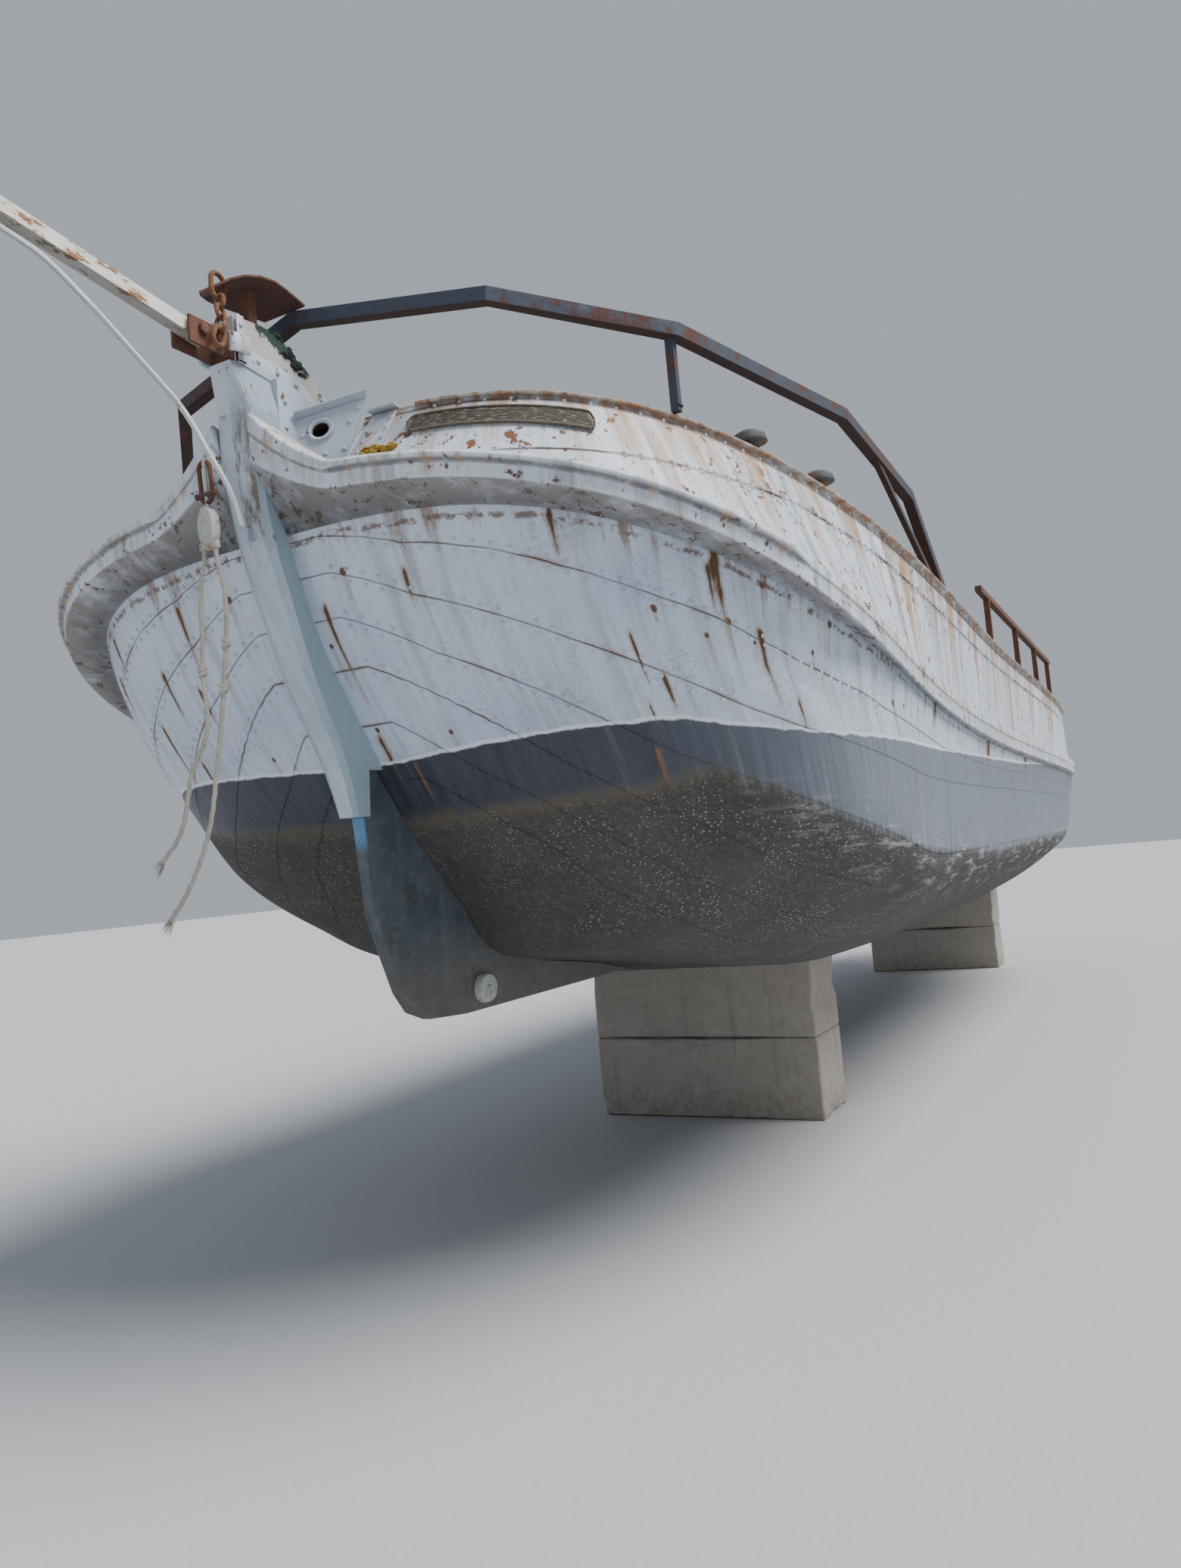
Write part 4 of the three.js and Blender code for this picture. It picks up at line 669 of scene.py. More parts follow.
# Bottom paint, from its waved edge down
edge_wave = plus(paint_place[0], times(minus(wobble, 0.5), 0.035))
below_edge = spread(edge_wave, 0.004, -0.004)
bright_edge = spread(unsigned(minus(edge_wave, 0.008)), 0.009, 0.005)
slate_streaks = cloudy(stretched(run, (26, 1.4, 1)), 1.0, 7, 0.68)
slate_drips = cloudy(stretched(run, (9, 0.4, 1), (4, 1, 0)), 1.0, 5, 0.6)
# The slate is lighter aft of the bow shoulder, blended in by girth.
lighter_aft_share = spread(girth_place, 1.3, 2.6)
slate = tint(spread(slate_streaks, 0.35, 0.7), (0.026, 0.03, 0.045), (0.055, 0.063, 0.09))
lighter_aft_slate = tint(spread(slate_streaks, 0.3, 0.7), (0.13, 0.15, 0.19), (0.22, 0.245, 0.29))
slate = tint(lighter_aft_share, slate, lighter_aft_slate)
slate = tint(spread(slate_drips, 0.58, 0.7, 0, 0.45), slate, (0.3, 0.3, 0.31))
slate = tint(times(placed, 0.9), slate, (0.2, 0.1, 0.045))
growth = specks(place, 46.0)
growth_fine = specks(place, 110.0)
growth_patch = cloudy(place, 3.2, 5, 0.6)
shells = times(spread(growth, 0.26, 0.18), spread(growth_patch, 0.4, 0.62))
shells_fine = times(spread(growth_fine, 0.3, 0.2), spread(growth_patch, 0.3, 0.7))
shell_share = times(larger(shells, times(shells_fine, 0.5)),
                     mark_parts[1])
bottom = tint(cloudy(place, 2.4, 6, 0.65), (0.032, 0.03, 0.03), (0.095, 0.088, 0.08))
bottom = tint(spread(cloudy(place, 30, 6, 0.7), 0.5, 0.75, 0, 0.6), bottom, (0.17, 0.145, 0.11))
bottom = tint(times(lap_line, 0.6), bottom, (0.035, 0.03, 0.028))
bottom = tint(shell_share, bottom, (0.5, 0.5, 0.48))
foot_wave = plus(paint_place[1], times(minus(slate_streaks, 0.5), 0.16))
bottom_share = spread(foot_wave, 0.02, -0.025)
scum = times(spread(unsigned(plus(foot_wave, 0.01)), 0.05, 0.01),
              spread(girth_place, 2.4, 1.4))
low = tint(bottom_share, slate, bottom)
low = tint(times(scum, 0.35), low, (0.16, 0.125, 0.07))
scuffs = cloudy(stretched(run, (2.2, 16, 1)), 1.0, 7, 0.7)
scuff_share = times(spread(scuffs, 0.52, 0.66), mark_parts[2])
low = tint(times(scuff_share, 0.85), low, (0.5, 0.51, 0.53))
low = tint(times(plate_end, 0.8), low, (0.03, 0.03, 0.035))
colour = tint(below_edge, colour, low)
colour = tint(times(bright_edge, 0.8), colour, (0.8, 0.82, 0.84))
roughness = tint(below_edge, spread(placed, 0, 1, 0.42, 0.9), spread(bottom_share, 0, 1, 0.5, 0.95))
lap_step = spread(lap_share, 0.0, 0.03)
relief = plus(times(lap_step, 1.0), times(shell_share, 0.9))
relief = plus(relief, times(fine, 0.12))
relief = minus(relief, times(plate_end, 0.8))
relief = minus(relief, times(placed, 0.25))
dress(shader, colour, roughness, relief, 0.006)
hull_piece.data.materials.append(hull_finish)

deck_finish, shader, place = new_finish("faded_deck_paint")
deck_paint = weather(place, place, (0.16, 0.2, 0.19), (0.25, 0.3, 0.28), 0.35, 0.5, 0.5)
grit = cloudy(place, 220, 3, 0.7)
deck_colour = tint(spread(grit, 0.45, 0.7, 0, 0.35), deck_paint["Colour"], (0.13, 0.15, 0.15))
dress(shader, deck_colour, 0.88, grit, 0.002)
hull_piece.data.materials.append(deck_finish)
put_on(hull_piece, "barge", "hull_paint", hull_finish, "hull")


# Rubbing strake
# A heavy box of white-painted plate runs along the deck edge and sweeps up to the stem in a curved
# knee. A half-round bead is riveted along it round the bow.
stem_half = 0.1004
first_station, last_station = 0.01118, 3 - 0.0323
strake_stations = [first_station + (1 - first_station) * (i / 170) ** 1.25 for i in range(171)]
strake_stations += [1 + i / 30 for i in range(1, 31)] + [2 + (last_station - 2) * i / 60
                                                         for i in range(1, 61)]


def level_line(name):
    line = [level_point(name, station) for station in strake_stations]
    stem, stern = level_point(name, 0), level_point(name, 3)
    start = stem.lerp(line[0], (stem_half - stem.y) / (line[0].y - stem.y))
    end = stern.lerp(line[-1], (0.0002 - stern.y) / (line[-1].y - stern.y))
    return [start, *line, end]


def plan_normals(line):
    normals = []
    for i in range(len(line)):
        run = line[min(i + 1, len(line) - 1)] - line[max(i - 1, 0)]
        normals.append(Vector((run.y, -run.x, 0)).normalized())
    return normals


def shifted(line, distance):
    moved = [point + normal * distance for point, normal in zip(line, plan_normals(line))]
    for i, point in enumerate(moved):
        point.y = line[i].y if i in (0, len(line) - 1) else max(point.y, 0.0002)
    return moved


def mirrored_rings(rings):
    return [[Vector((p.x, -p.y, p.z)) for p in reversed(ring)] for ring in rings]


# Which port point each point answers to: the mirrored rings run the other way round
def ring_order(rings, side):
    size = len(rings[0])
    return [i * size + (k if side == "port" else size - 1 - k) for i in range(len(rings))
            for k in range(size)]


def line_lengths(line):
    total, lengths = 0.0, []
    for i, point in enumerate(line):
        total += (point - line[i - 1]).length if i else 0
        lengths.append(total)
    return lengths


strake_inner = shifted(level_line("wale_low"), 0.0004)
strake_outer = level_line("wale_face")
strake_outward = plan_normals(strake_outer)
deck_side = level_line("deck_edge")
wale = levels["wale_face"]
strake_tall, strake_tall_at_bow = 0.156, 0.107
knee_rise, swell_rise = 0.27, 0.038
bead_arc = [math.pi * (k / 8 - 0.5) for k in range(9)]
bead_shares = [0.73 + 0.16 * math.sin(turn) for turn in bead_arc]
least_y = 0.0002
strake_rings = []
for i, (inner, outer) in enumerate(zip(strake_inner, strake_outer)):
    at_bow = outer.x - stem_face_x > -1
    knee = max(0, 1 - (outer.y - 0.1) / 0.4) ** 1.5 if at_bow else 0
    swell = max(0, 1 - (outer.y - 0.1) / 1.1) if outer.x - stem_face_x > -1.5 else 0
    fore = min(1, max(0, (outer.z - wale["mid_z"]) / (wale["bow_z"] - wale["mid_z"])))
    low = outer.z + 0.185 * knee + 0.015 * swell
    tall = strake_tall + (strake_tall_at_bow - strake_tall) * fore
    high = outer.z + tall + knee_rise * knee + swell_rise * swell
    bead_ends = min(1, max(0, (outer.x - stem_face_x + 1.1) / 0.15)), min(1, max(0, (outer.y - 0.44) / 0.06))
    bead = 0.026 * bead_ends[0] * bead_ends[1]

    def edge(share, out):
        place = outer + strake_outward[i] * out
        return Vector((place.x, max(least_y, place.y), low + share * (high - low)))

    ring = [inner.copy(), edge(0.0, -0.012), edge(0.02, -0.003), edge(0.09, 0.0), edge(0.5, 0.0),
            edge(0.55, 0.004)]
    ring += [edge(share, 0.004 + bead * math.cos(turn)) for share, turn in zip(bead_shares, bead_arc)]
    ring += [edge(0.91, 0.003), edge(0.955, -0.003), edge(0.975, -0.014),
             Vector((inner.x, inner.y,
                     deck_side[i].z - 0.002 + 0.9 * (knee_rise * knee + swell_rise * swell)))]
    strake_rings.append(ring)
ring_shares = [-0.3, 0, 0.02, 0.09, 0.5, 0.55, *bead_shares, 0.91, 0.955, 0.975, 1.1]
strake_parts = [(share, 0) for ring in strake_rings for share in ring_shares]
strake_rings[0] = [Vector((p.x, stem_half, p.z)) for p in strake_rings[0]]
strake_lengths = line_lengths(strake_outer)
strake_map = [(strake_lengths[i], p.z) for i, ring in enumerate(strake_rings) for p in ring]
strake_finish, shader, place = new_finish("strake_paint")
run = map_of(place, "run")
paint = weather(place, run, (0.6, 0.67, 0.76), (0.7, 0.75, 0.81), 0.8, 1.4, 0.8)
facing = facing_of(place)[2]
# Downward faces are darkened in patches towards brown: dirt, and painted shade under the strake.
underside_dirt_and_shade = times(spread(facing, -0.45, -0.85), spread(cloudy(place, 5, 6, 0.65), 0.2, 0.5))
colour = tint(times(underside_dirt_and_shade, 0.8), paint["Colour"], (0.16, 0.125, 0.1))
part = parts_of(map_of(place, "part"))[0]
crumbs = cloudy(place, 20, 7, 0.7)
# A dark blue-grey line just below the bead: painted shadow of the bead, with some grime.
bead_shadow_and_grime = times(spread(unsigned(minus(part, 0.55)), 0.07, 0.02),
                    spread(crumbs, 0.3, 0.55, 0.25, 1.0))
colour = tint(times(bead_shadow_and_grime, 0.8), colour, (0.12, 0.13, 0.16))
dribbles = cloudy(stretched(run, (16, 5, 1), (2, 2, 0)), 1.0, 7, 0.7)
dribbles = times(spread(dribbles, 0.5, 0.6), spread(cloudy(place, 1.6, 3), 0.38, 0.52))
dribbles = larger(times(dribbles, spread(part, 0.05, 0.5)),
                  times(spread(part, 0.87, 0.95), spread(crumbs, 0.48, 0.58)))
colour = tint(times(dribbles, 0.75), colour, tint(crumbs, (0.2, 0.08, 0.03), (0.6, 0.38, 0.18)))
dress(shader, colour, paint["Roughness"], paint["Height"], 0.003)
for side, rings in (("port", strake_rings), ("starboard", mirrored_rings(strake_rings))):
    order = ring_order(rings, side)
    maps = {"run": [strake_map[i] for i in order], "part": [strake_parts[i] for i in order]}
    strake = loft(f"rubbing_strake_{side}", rings, maps)
    put_on(strake, "barge", "white_paint", strake_finish, f"wale_{side}")


# Bulwark
# Riveted plate leans inwards from the deck edge to a flat cap with rounded edges, which carries
# the rails. Rust weeps from under the cap, from the laps and from old fastenings.
cap_line = level_line("cap_line")
bulwark_base = shifted(deck_side, -0.012)
base_normals = plan_normals(bulwark_base)
bulwark_top = []
for i, (point, normal) in enumerate(zip(bulwark_base, base_normals)):
    if i in (0, len(bulwark_base) - 1):
        bulwark_top.append(cap_line[i])
        continue
    found = []
    for a, b in zip(cap_line, cap_line[1:]):
        side_a = (a.x - point.x) * normal.y - (a.y - point.y) * normal.x
        side_b = (b.x - point.x) * normal.y - (b.y - point.y) * normal.x
        if side_a * side_b <= 0 and side_a != side_b:
            found.append(a.lerp(b, side_a / (side_a - side_b)))
    bulwark_top.append(min(found, key=lambda p: math.hypot(p.x - point.x, p.y - point.y)))
for point in bulwark_base:
    point.z = level_height(levels["deck_edge"], point.x - stem_face_x) + 0.0004
cap_thick = 0.014
ring_stations = [0, *strake_stations, 3]


def bulwark_ruling(i, share, out):
    foot, top = bulwark_base[i], bulwark_top[i]
    return foot.lerp(Vector((top.x, top.y, top.z - cap_thick)), share) + base_normals[i] * out


def on_bulwark(station, share, out):
    i = max(k for k in range(len(ring_stations) - 1) if ring_stations[k] <= station)
    part = (station - ring_stations[i]) / (ring_stations[i + 1] - ring_stations[i])
    return bulwark_ruling(i, share, out).lerp(bulwark_ruling(i + 1, share, out), part)


side_shares = (0, 0.08, 0.2, 0.32, 0.44, 0.56, 0.68, 0.8, 0.9, 0.97, 1)


def bulwark_ring(i):
    over = 0.028 if ring_stations[i] >= 0.0894 else 0.0

    def lift(share, out, rise):
        return bulwark_ruling(i, share, out) + Vector((0, 0, rise))

    outer = [lift(share, 0, 0) for share in side_shares]
    cap = [lift(1, over - 0.002, 0.0005), lift(1, over, 0.003), lift(1, over, 0.010),
           lift(1, over - 0.004, 0.0138),
           lift(1, -0.06, cap_thick), lift(1, -0.117, 0.0138), lift(1, -0.12, 0.010), lift(1, -0.12, 0.001)]
    inner = [lift(1, -0.022, 0), lift(0.5, -0.022, 0), lift(0, -0.022, 0)]
    return [*outer, *cap, *inner]


start = next(i for i, station in enumerate(ring_stations) if station >= 0.0316)
bulwark_rings = [bulwark_ring(i) for i in range(start, len(ring_stations))]
bulwark_rings = [[Vector((p.x, max(p.y, 0.0002), p.z)) for p in ring] for ring in bulwark_rings]
bulwark_lengths = line_lengths(bulwark_base)
bulwark_shares = [*side_shares, *[1.1] * 8, 1, 0.5, 0]
lap_on_bulwark = {0.0: 0.1, 0.435: 0.43, 0.766: 0.68, 0.865: 0.7, 0.967: 0.74, 1.5: 0.76, 3: 0.76}
bulwark_map, bulwark_plate = [], []
for i in range(start, len(ring_stations)):
    for k, share in enumerate(bulwark_shares):
        bulwark_map.append((bulwark_lengths[i], bulwark_rings[i - start][k].z))
        bulwark_plate.append((share, share - read_off(lap_on_bulwark, ring_stations[i])))
bulwark_finish, shader, place = new_finish("bulwark_paint")
run = map_of(place, "run")
plate = parts_of(map_of(place, "plate"))
paint = weather(place, run, (0.7, 0.76, 0.84), (0.55, 0.61, 0.69), 0.85, 1.6, 0.8)
girth_place = parts_of(run)[0]
wobble = cloudy(run, 12, 6, 0.65)
weep_noise = cloudy(stretched(run, (6, 0.5, 1)), 1.0, 6, 0.6)
weep_noise = plus(weep_noise, spread(plate[0], 0.1, 1.1, -0.06, 0.09))
on_side = spread(plate[0], 1.0, 1.05, 1, 0)
weeps = times(spread(weep_noise, 0.52, 0.63), on_side)
colour = tint(times(weeps, 0.85), paint["Colour"], tint(wobble, (0.28, 0.12, 0.04), (0.54, 0.34, 0.17)))
rim = spread(plate[0], 1.02, 1.06)
colour = tint(times(rim, 0.6), colour, (0.5, 0.4, 0.27))
worn_cap = times(spread(cloudy(place, 6, 7, 0.7), 0.5, 0.6), rim)
colour = tint(times(worn_cap, 0.8), colour, (0.26, 0.13, 0.07))
edge_rust = times(spread(plate[0], 0.93, 1.04), spread(wobble, 0.42, 0.6))
colour = tint(times(edge_rust, 0.8), colour,
              tint(cloudy(place, 60, 5, 0.7), (0.14, 0.055, 0.025), (0.5, 0.24, 0.09)))
lap_line = plus(unsigned(plate[1]), times(wobble, 0.03))
lap_line = spread(lap_line, 0.038, 0.022)
lap_line = times(lap_line, spread(cloudy(run, 4, 4), 0.4, 0.6, 0.15, 1))
under_cap = spread(unsigned(minus(plate[0], 0.95)), 0.03, 0.01)
under_cap = times(under_cap, spread(cloudy(run, 3, 5), 0.35, 0.5, 0.4, 1))
colour = tint(times(under_cap, 0.8), colour, (0.07, 0.04, 0.03))
scrapes = cloudy(stretched(run, (7, 36, 1), (6, 1, 0)), 1.0, 3, 0.5)
colour = tint(spread(scrapes, 0.735, 0.75, 0, 0.85), colour, (0.1, 0.15, 0.28))
foot_line = times(spread(plate[0], 0.05, 0.0), spread(wobble, 0.35, 0.6))
colour = tint(larger(lap_line, foot_line), colour, (0.07, 0.035, 0.025))
relief = plus(paint["Height"], times(spread(plate[1], -0.01, 0.01), 1.2))
dress(shader, colour, paint["Roughness"], relief, 0.004)
for side, rings in (("port", bulwark_rings), ("starboard", mirrored_rings(bulwark_rings))):
    order = ring_order(rings, side)
    maps = {"run": [bulwark_map[i] for i in order], "plate": [bulwark_plate[i] for i in order]}
    bulwark = loft(f"bulwark_plating_{side}", rings, maps)
    put_on(bulwark, "barge", "white_paint", bulwark_finish, f"bulwark_{side}")
    bpy.ops.object.select_all(action="DESELECT")
    bulwark.select_set(True)
    bpy.context.view_layer.objects.active = bulwark
    bpy.ops.object.shade_smooth_by_angle(angle=math.radians(40))


# Name boards
# Long teak boards with rounded ends and a raised border are bolted to the bow bulwarks. The dark
# paint on them has cracked and flaked to grey wood. They bear no lettering.
both_sides = (("port", 1), ("starboard", -1))
board_start, board_end = 0.0894, 0.382
board_finish, shader, place = new_finish("flaked_board")
run = map_of(place, "run")
face = parts_of(map_of(place, "face"))[1]
grain = cloudy(stretched(run, (5, 130, 1)), 1.0, 7, 0.65)
flakes = cloudy(stretched(run, (26, 60, 1)), 1.0, 8, 0.75)
wood = tint(grain, (0.1, 0.075, 0.055), (0.36, 0.3, 0.22))
inside_border = spread(unsigned(face), 0.86, 0.7)
dark_share = times(spread(flakes, 0.43, 0.51), spread(inside_border, 0, 1, 0.45, 1))
colour = tint(dark_share, wood, (0.045, 0.035, 0.028))
relief = plus(times(dark_share, 0.6), grain)
dress(shader, colour, 0.8, relief, 0.004)
for side, sign in both_sides:
    rings, run_map, face_map = [], [], []
    travel = 0.0
    for k in range(91):
        share = k / 90
        station = board_start + (board_end - board_start) * share
        end = abs(2 * share - 1)
        tall = 0.12 * (1 - max(0.0, (end - 0.9) / 0.1) ** 3) ** 0.5 if end > 0.9 else 0.12
        tall = max(tall, 0.012)
        outline = [(-1, 0), (1, 0), (1, 0.016), (0.93, 0.0215), (0.82, 0.0215), (0.76, 0.015), (-0.76, 0.015),
                   (-0.82, 0.0215), (-0.93, 0.0215), (-1, 0.016)]
        rings.append([on_bulwark(station, 0.74 + u * tall, 0.0015 + out) for u, out in outline])
        travel += (rings[-1][0] - rings[-2][0]).length if k else 0
        run_map += [(travel, u * 0.08) for u, _ in outline]
        face_map += [(share, u if end < 0.95 else 1) for u, _ in outline]
    if sign < 0:
        rings = [[Vector((p.x, -p.y, p.z)) for p in ring] for ring in rings]
    board = loft(f"name_board_{side}", rings, {"run": run_map, "face": face_map}, smooth=False)
    put_on(board, "barge", "wood", board_finish, f"nameboard_{side}")


# Stem
# A forged bar, bevelled along its front, closes the bow from the fin up to the timber on top. It is
# painted like the plating, blue-grey in the bevels, and moss grows down its front.
def paint_nodes(finish, *names):
    for name in names:
        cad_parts[name].data.materials.clear()
        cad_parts[name].data.materials.append(finish)


def ease_nodes(width, *names):
    for name in names:
        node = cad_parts[name]
        weld = node.modifiers.new("joined_faces", "WELD")
        weld.merge_threshold = 0.0001
        flat = node.modifiers.new("plain_faces", "DECIMATE")
        flat.decimate_type = "DISSOLVE"
        flat.angle_limit = math.radians(1)
        rounding = node.modifiers.new("eased_edges", "BEVEL")
        rounding.width = width
        rounding.segments = 2
        rounding.limit_method = "ANGLE"
        rounding.angle_limit = math.radians(28)
        rounding.use_clamp_overlap = True


# White paint that turns to slate below the waterline edge, and to antifouling under that
def banded_paint(name, white_side, white_front, edge):
    finish, shader, place = new_finish(name)
    facing = facing_of(place)
    height = parts_of(place)[2]
    run = level_run(place)
    front = spread(facing[0], 0.75, 0.95)
    base = tint(front, white_side, white_front)
    paint = weather(place, run, base, base, 0.35, 0.8, 0.4)
    wobble = cloudy(place, 11, 5, 0.6)
    waved = plus(height, spread(wobble, 0, 1, -0.03, 0.03))
    slate = tint(cloudy(stretched(run, (20, 2, 1)), 1.0, 6, 0.65), (0.06, 0.068, 0.09), (0.13, 0.14, 0.17))
    bottom = tint(cloudy(place, 7, 6, 0.65), (0.07, 0.062, 0.055), (0.19, 0.17, 0.145))
    colour = tint(spread(waved, edge + 0.006, edge - 0.006), paint["Colour"], slate)
    colour = tint(spread(waved, edge - 0.2, edge - 0.28), colour, bottom)
    ledge = times(spread(facing[2], 0.55, 0.8), spread(height, 3.9, 4.0))
    colour = tint(times(ledge, 0.9), colour, (0.05, 0.04, 0.035))
    return finish, shader, place, paint, colour, front, height


finish, shader, place, paint, colour, front, height = banded_paint(
    "stem_paint", (0.3, 0.39, 0.46), (0.54, 0.6, 0.69), 0.5)
shaded = times(spread(height, 3.75, 3.35), spread(front, 0.5, 0.0))
colour = tint(times(shaded, 0.75), colour, (0.3, 0.41, 0.46))
moss_place = cloudy(stretched(place, (9, 9, 2.6)), 1.0, 7, 0.7)
moss_share = times(spread(moss_place, 0.5, 0.6), front)
moss_share = times(moss_share, spread(height, 3.3, 3.5))
moss_share = times(moss_share, spread(height, 4.05, 3.85))
speckle = cloudy(place, 90, 4, 0.7)
colour = tint(moss_share, colour, tint(speckle, (0.08, 0.065, 0.045), (0.3, 0.26, 0.2)))
dress(shader, colour, paint["Roughness"],
      plus(paint["Height"], times(moss_share, speckle)), 0.004)
paint_nodes(finish, "stem")
ease_nodes(0.006, "stem")


# Stem head
# White plate boxes in the top of the stem, with a timber wedge bedded on it. A flat strap is bolted
# down each side of the joint, and a cast collar wraps the front under the bowsprit.
def boat(x, y, z):
    return Vector((x + stem_face_x, y, z))


def sawn_block(name, low, high):
    bpy.ops.object.select_all(action="DESELECT")
    bpy.ops.mesh.primitive_cube_add(size=1, location=(Vector(low) + Vector(high)) / 2)
    bpy.context.object.scale = Vector(high) - Vector(low)
    return settled(name)


# A round bar or, with six sides, a nut. It lies across the boat unless tilt says otherwise
def turned(name, spot, radius, depth, ease=0.002, sides=6, tilt=(math.pi / 2, 0, 0)):
    bpy.ops.mesh.primitive_cylinder_add(vertices=sides, radius=radius, depth=depth, rotation=tilt,
                                        location=spot)
    return eased(settled(name), ease)


def take_up(piece):
    bpy.ops.object.select_all(action="DESELECT")
    piece.select_set(True)
    bpy.context.view_layer.objects.active = piece


def edit_all():
    bpy.ops.object.mode_set(mode="EDIT")
    bpy.ops.mesh.select_all(action="SELECT")


def saw(piece, place, away):
    take_up(piece)
    edit_all()
    bpy.ops.mesh.bisect(plane_co=place, plane_no=away, use_fill=True, clear_outer=True)
    bpy.ops.object.mode_set(mode="OBJECT")


def eased(piece, width, steps=2):
    take_up(piece)
    rounding = piece.modifiers.new("eased_edges", "BEVEL")
    rounding.width = width
    rounding.segments = steps
    rounding.limit_method = "ANGLE"
    rounding.angle_limit = math.radians(28)
    bpy.ops.object.modifier_apply(modifier=rounding.name)
    bpy.ops.object.shade_smooth_by_angle(angle=math.radians(35))
    return piece


# A plate standing fore and aft: its outline as x and z, cut from a block along each edge
def side_plate(name, outline, y_low, y_high, ease=0.002):
    xs, zs = [x for x, _ in outline], [z for _, z in outline]
    piece = sawn_block(name, boat(min(xs), y_low, min(zs)), boat(max(xs), y_high, max(zs)))
    middle = boat(sum(xs) / len(xs), 0, sum(zs) / len(zs))
    for (x0, z0), (x1, z1) in zip(outline, outline[1:] + outline[:1]):
        away = Vector((z1 - z0, 0, x0 - x1)).normalized()
        if away.dot(middle - boat(x0, 0, z0)) > 0:
            away = -away
        saw(piece, boat(x0, 0, z0), away)
    return eased(piece, ease)


# Domed rivet heads: one is shaped, and the rest of the row are copies of it
def rivets(name, spots, radius=0.012, rise=0.5):
    bpy.ops.object.select_all(action="DESELECT")
    bpy.ops.mesh.primitive_uv_sphere_add(segments=8, ring_count=6, radius=radius)
    head = bpy.context.object
    edit_all()
    bpy.ops.mesh.bisect(plane_co=(0, 0, -radius * 0.15), plane_no=(0, 0, -1), use_fill=True, clear_outer=True)
    bpy.ops.mesh.select_all(action="SELECT")
    bpy.ops.transform.resize(value=(1, 1, rise))
    bpy.ops.object.mode_set(mode="OBJECT")
    points, faces = [], []
    for spot, out in spots:
        turn = out.to_track_quat("Z", "Y").to_matrix()
        base = len(points)
        points += [spot + turn @ v.co for v in head.data.vertices]
        faces += [tuple(base + i for i in face.vertices) for face in head.data.polygons]
    bpy.data.objects.remove(head)
    return make_mesh(name, points, faces, outwards=False)


white_finish, shader, place = new_finish("white_plate_paint")
paint = weather(place, level_run(place), (0.52, 0.58, 0.65), (0.44, 0.5, 0.58), 0.7, 0.9, 0.55)
parts = parts_of(place)
facing = facing_of(place)
ledge = times(spread(facing[2], 0.55, 0.8), spread(parts[2], 3.98, 4.04))
ledge = times(ledge, spread(parts[2], 4.13, 4.12))
ledge = times(ledge, spread(unsigned(parts[1]), 0.14, 0.12))
colour = tint(times(ledge, 0.9), paint["Colour"], (0.05, 0.04, 0.035))
dress(shader, colour, paint["Roughness"], paint["Height"], 0.003)
paint_nodes(white_finish, "stem_head")
ease_nodes(0.004, "stem_head")

timber_finish, shader, place = new_finish("weathered_timber")
grain = cloudy(stretched(place, (2.2, 60, 34)), 1.0, 8, 0.7, 0.6)
splits = cloudy(stretched(place, (1.4, 50, 16), (3, 1, 8)), 1.0, 5, 0.6, 0.4)
split_line = spread(splits, 0.62, 0.66)
colour = tint(grain, (0.3, 0.27, 0.245), (0.66, 0.62, 0.58))
colour = tint(split_line, colour, (0.045, 0.038, 0.035))
parts = parts_of(place)
up_slope = facing_of(place)[2]
moss_noise = cloudy(place, 13, 7, 0.7)
moss_near = times(spread(parts[0], stem_face_x - 0.52, stem_face_x - 0.3),
                   spread(parts[0], stem_face_x - 0.02, stem_face_x - 0.14))
high_side = spread(plus(parts[2], times(parts[0], -0.32)), 1.83, 1.88)
moss_near = times(moss_near, larger(high_side, spread(up_slope, 0.2, 0.5)))
moss_share = spread(plus(moss_noise, times(moss_near, 0.3)), 0.62, 0.7)
tufts = cloudy(place, 120, 5, 0.75)
colour = tint(moss_share, colour, tint(tufts, (0.012, 0.03, 0.026), (0.06, 0.12, 0.085)))
relief = plus(minus(grain, times(split_line, 1.2)),
                times(times(moss_share, tufts), 2.5))
dress(shader, colour, 0.92, relief, 0.006)
paint_nodes(timber_finish, "stem_cap")
ease_nodes(0.008, "stem_cap")

galvanised_finish, shader, place = new_finish("galvanised_steel", 0.35)
tree = galvanised_finish.node_tree
spangle = add_node(tree, "TexVoronoi", {"Vector": place, "Scale": 70.0}).outputs["Color"]
spangle = add_node(tree, "SeparateColor", {0: spangle}).outputs[0]
stain = cloudy(place, 8, 7, 0.68)
stain_runs = cloudy(stretched(level_run(place), (14, 1.2, 1)), 1.0, 5, 0.6)
colour = tint(spangle, (0.36, 0.38, 0.39), (0.5, 0.52, 0.52))
rusted = spread(plus(stain, times(stain_runs, 0.45)), 0.74, 0.82)
colour = tint(rusted, colour, tint(cloudy(place, 80, 5, 0.7), (0.12, 0.05, 0.025), (0.45, 0.22, 0.09)))
dress(shader, colour, spread(rusted, 0, 1, 0.55, 0.92), plus(stain, rusted), 0.002)

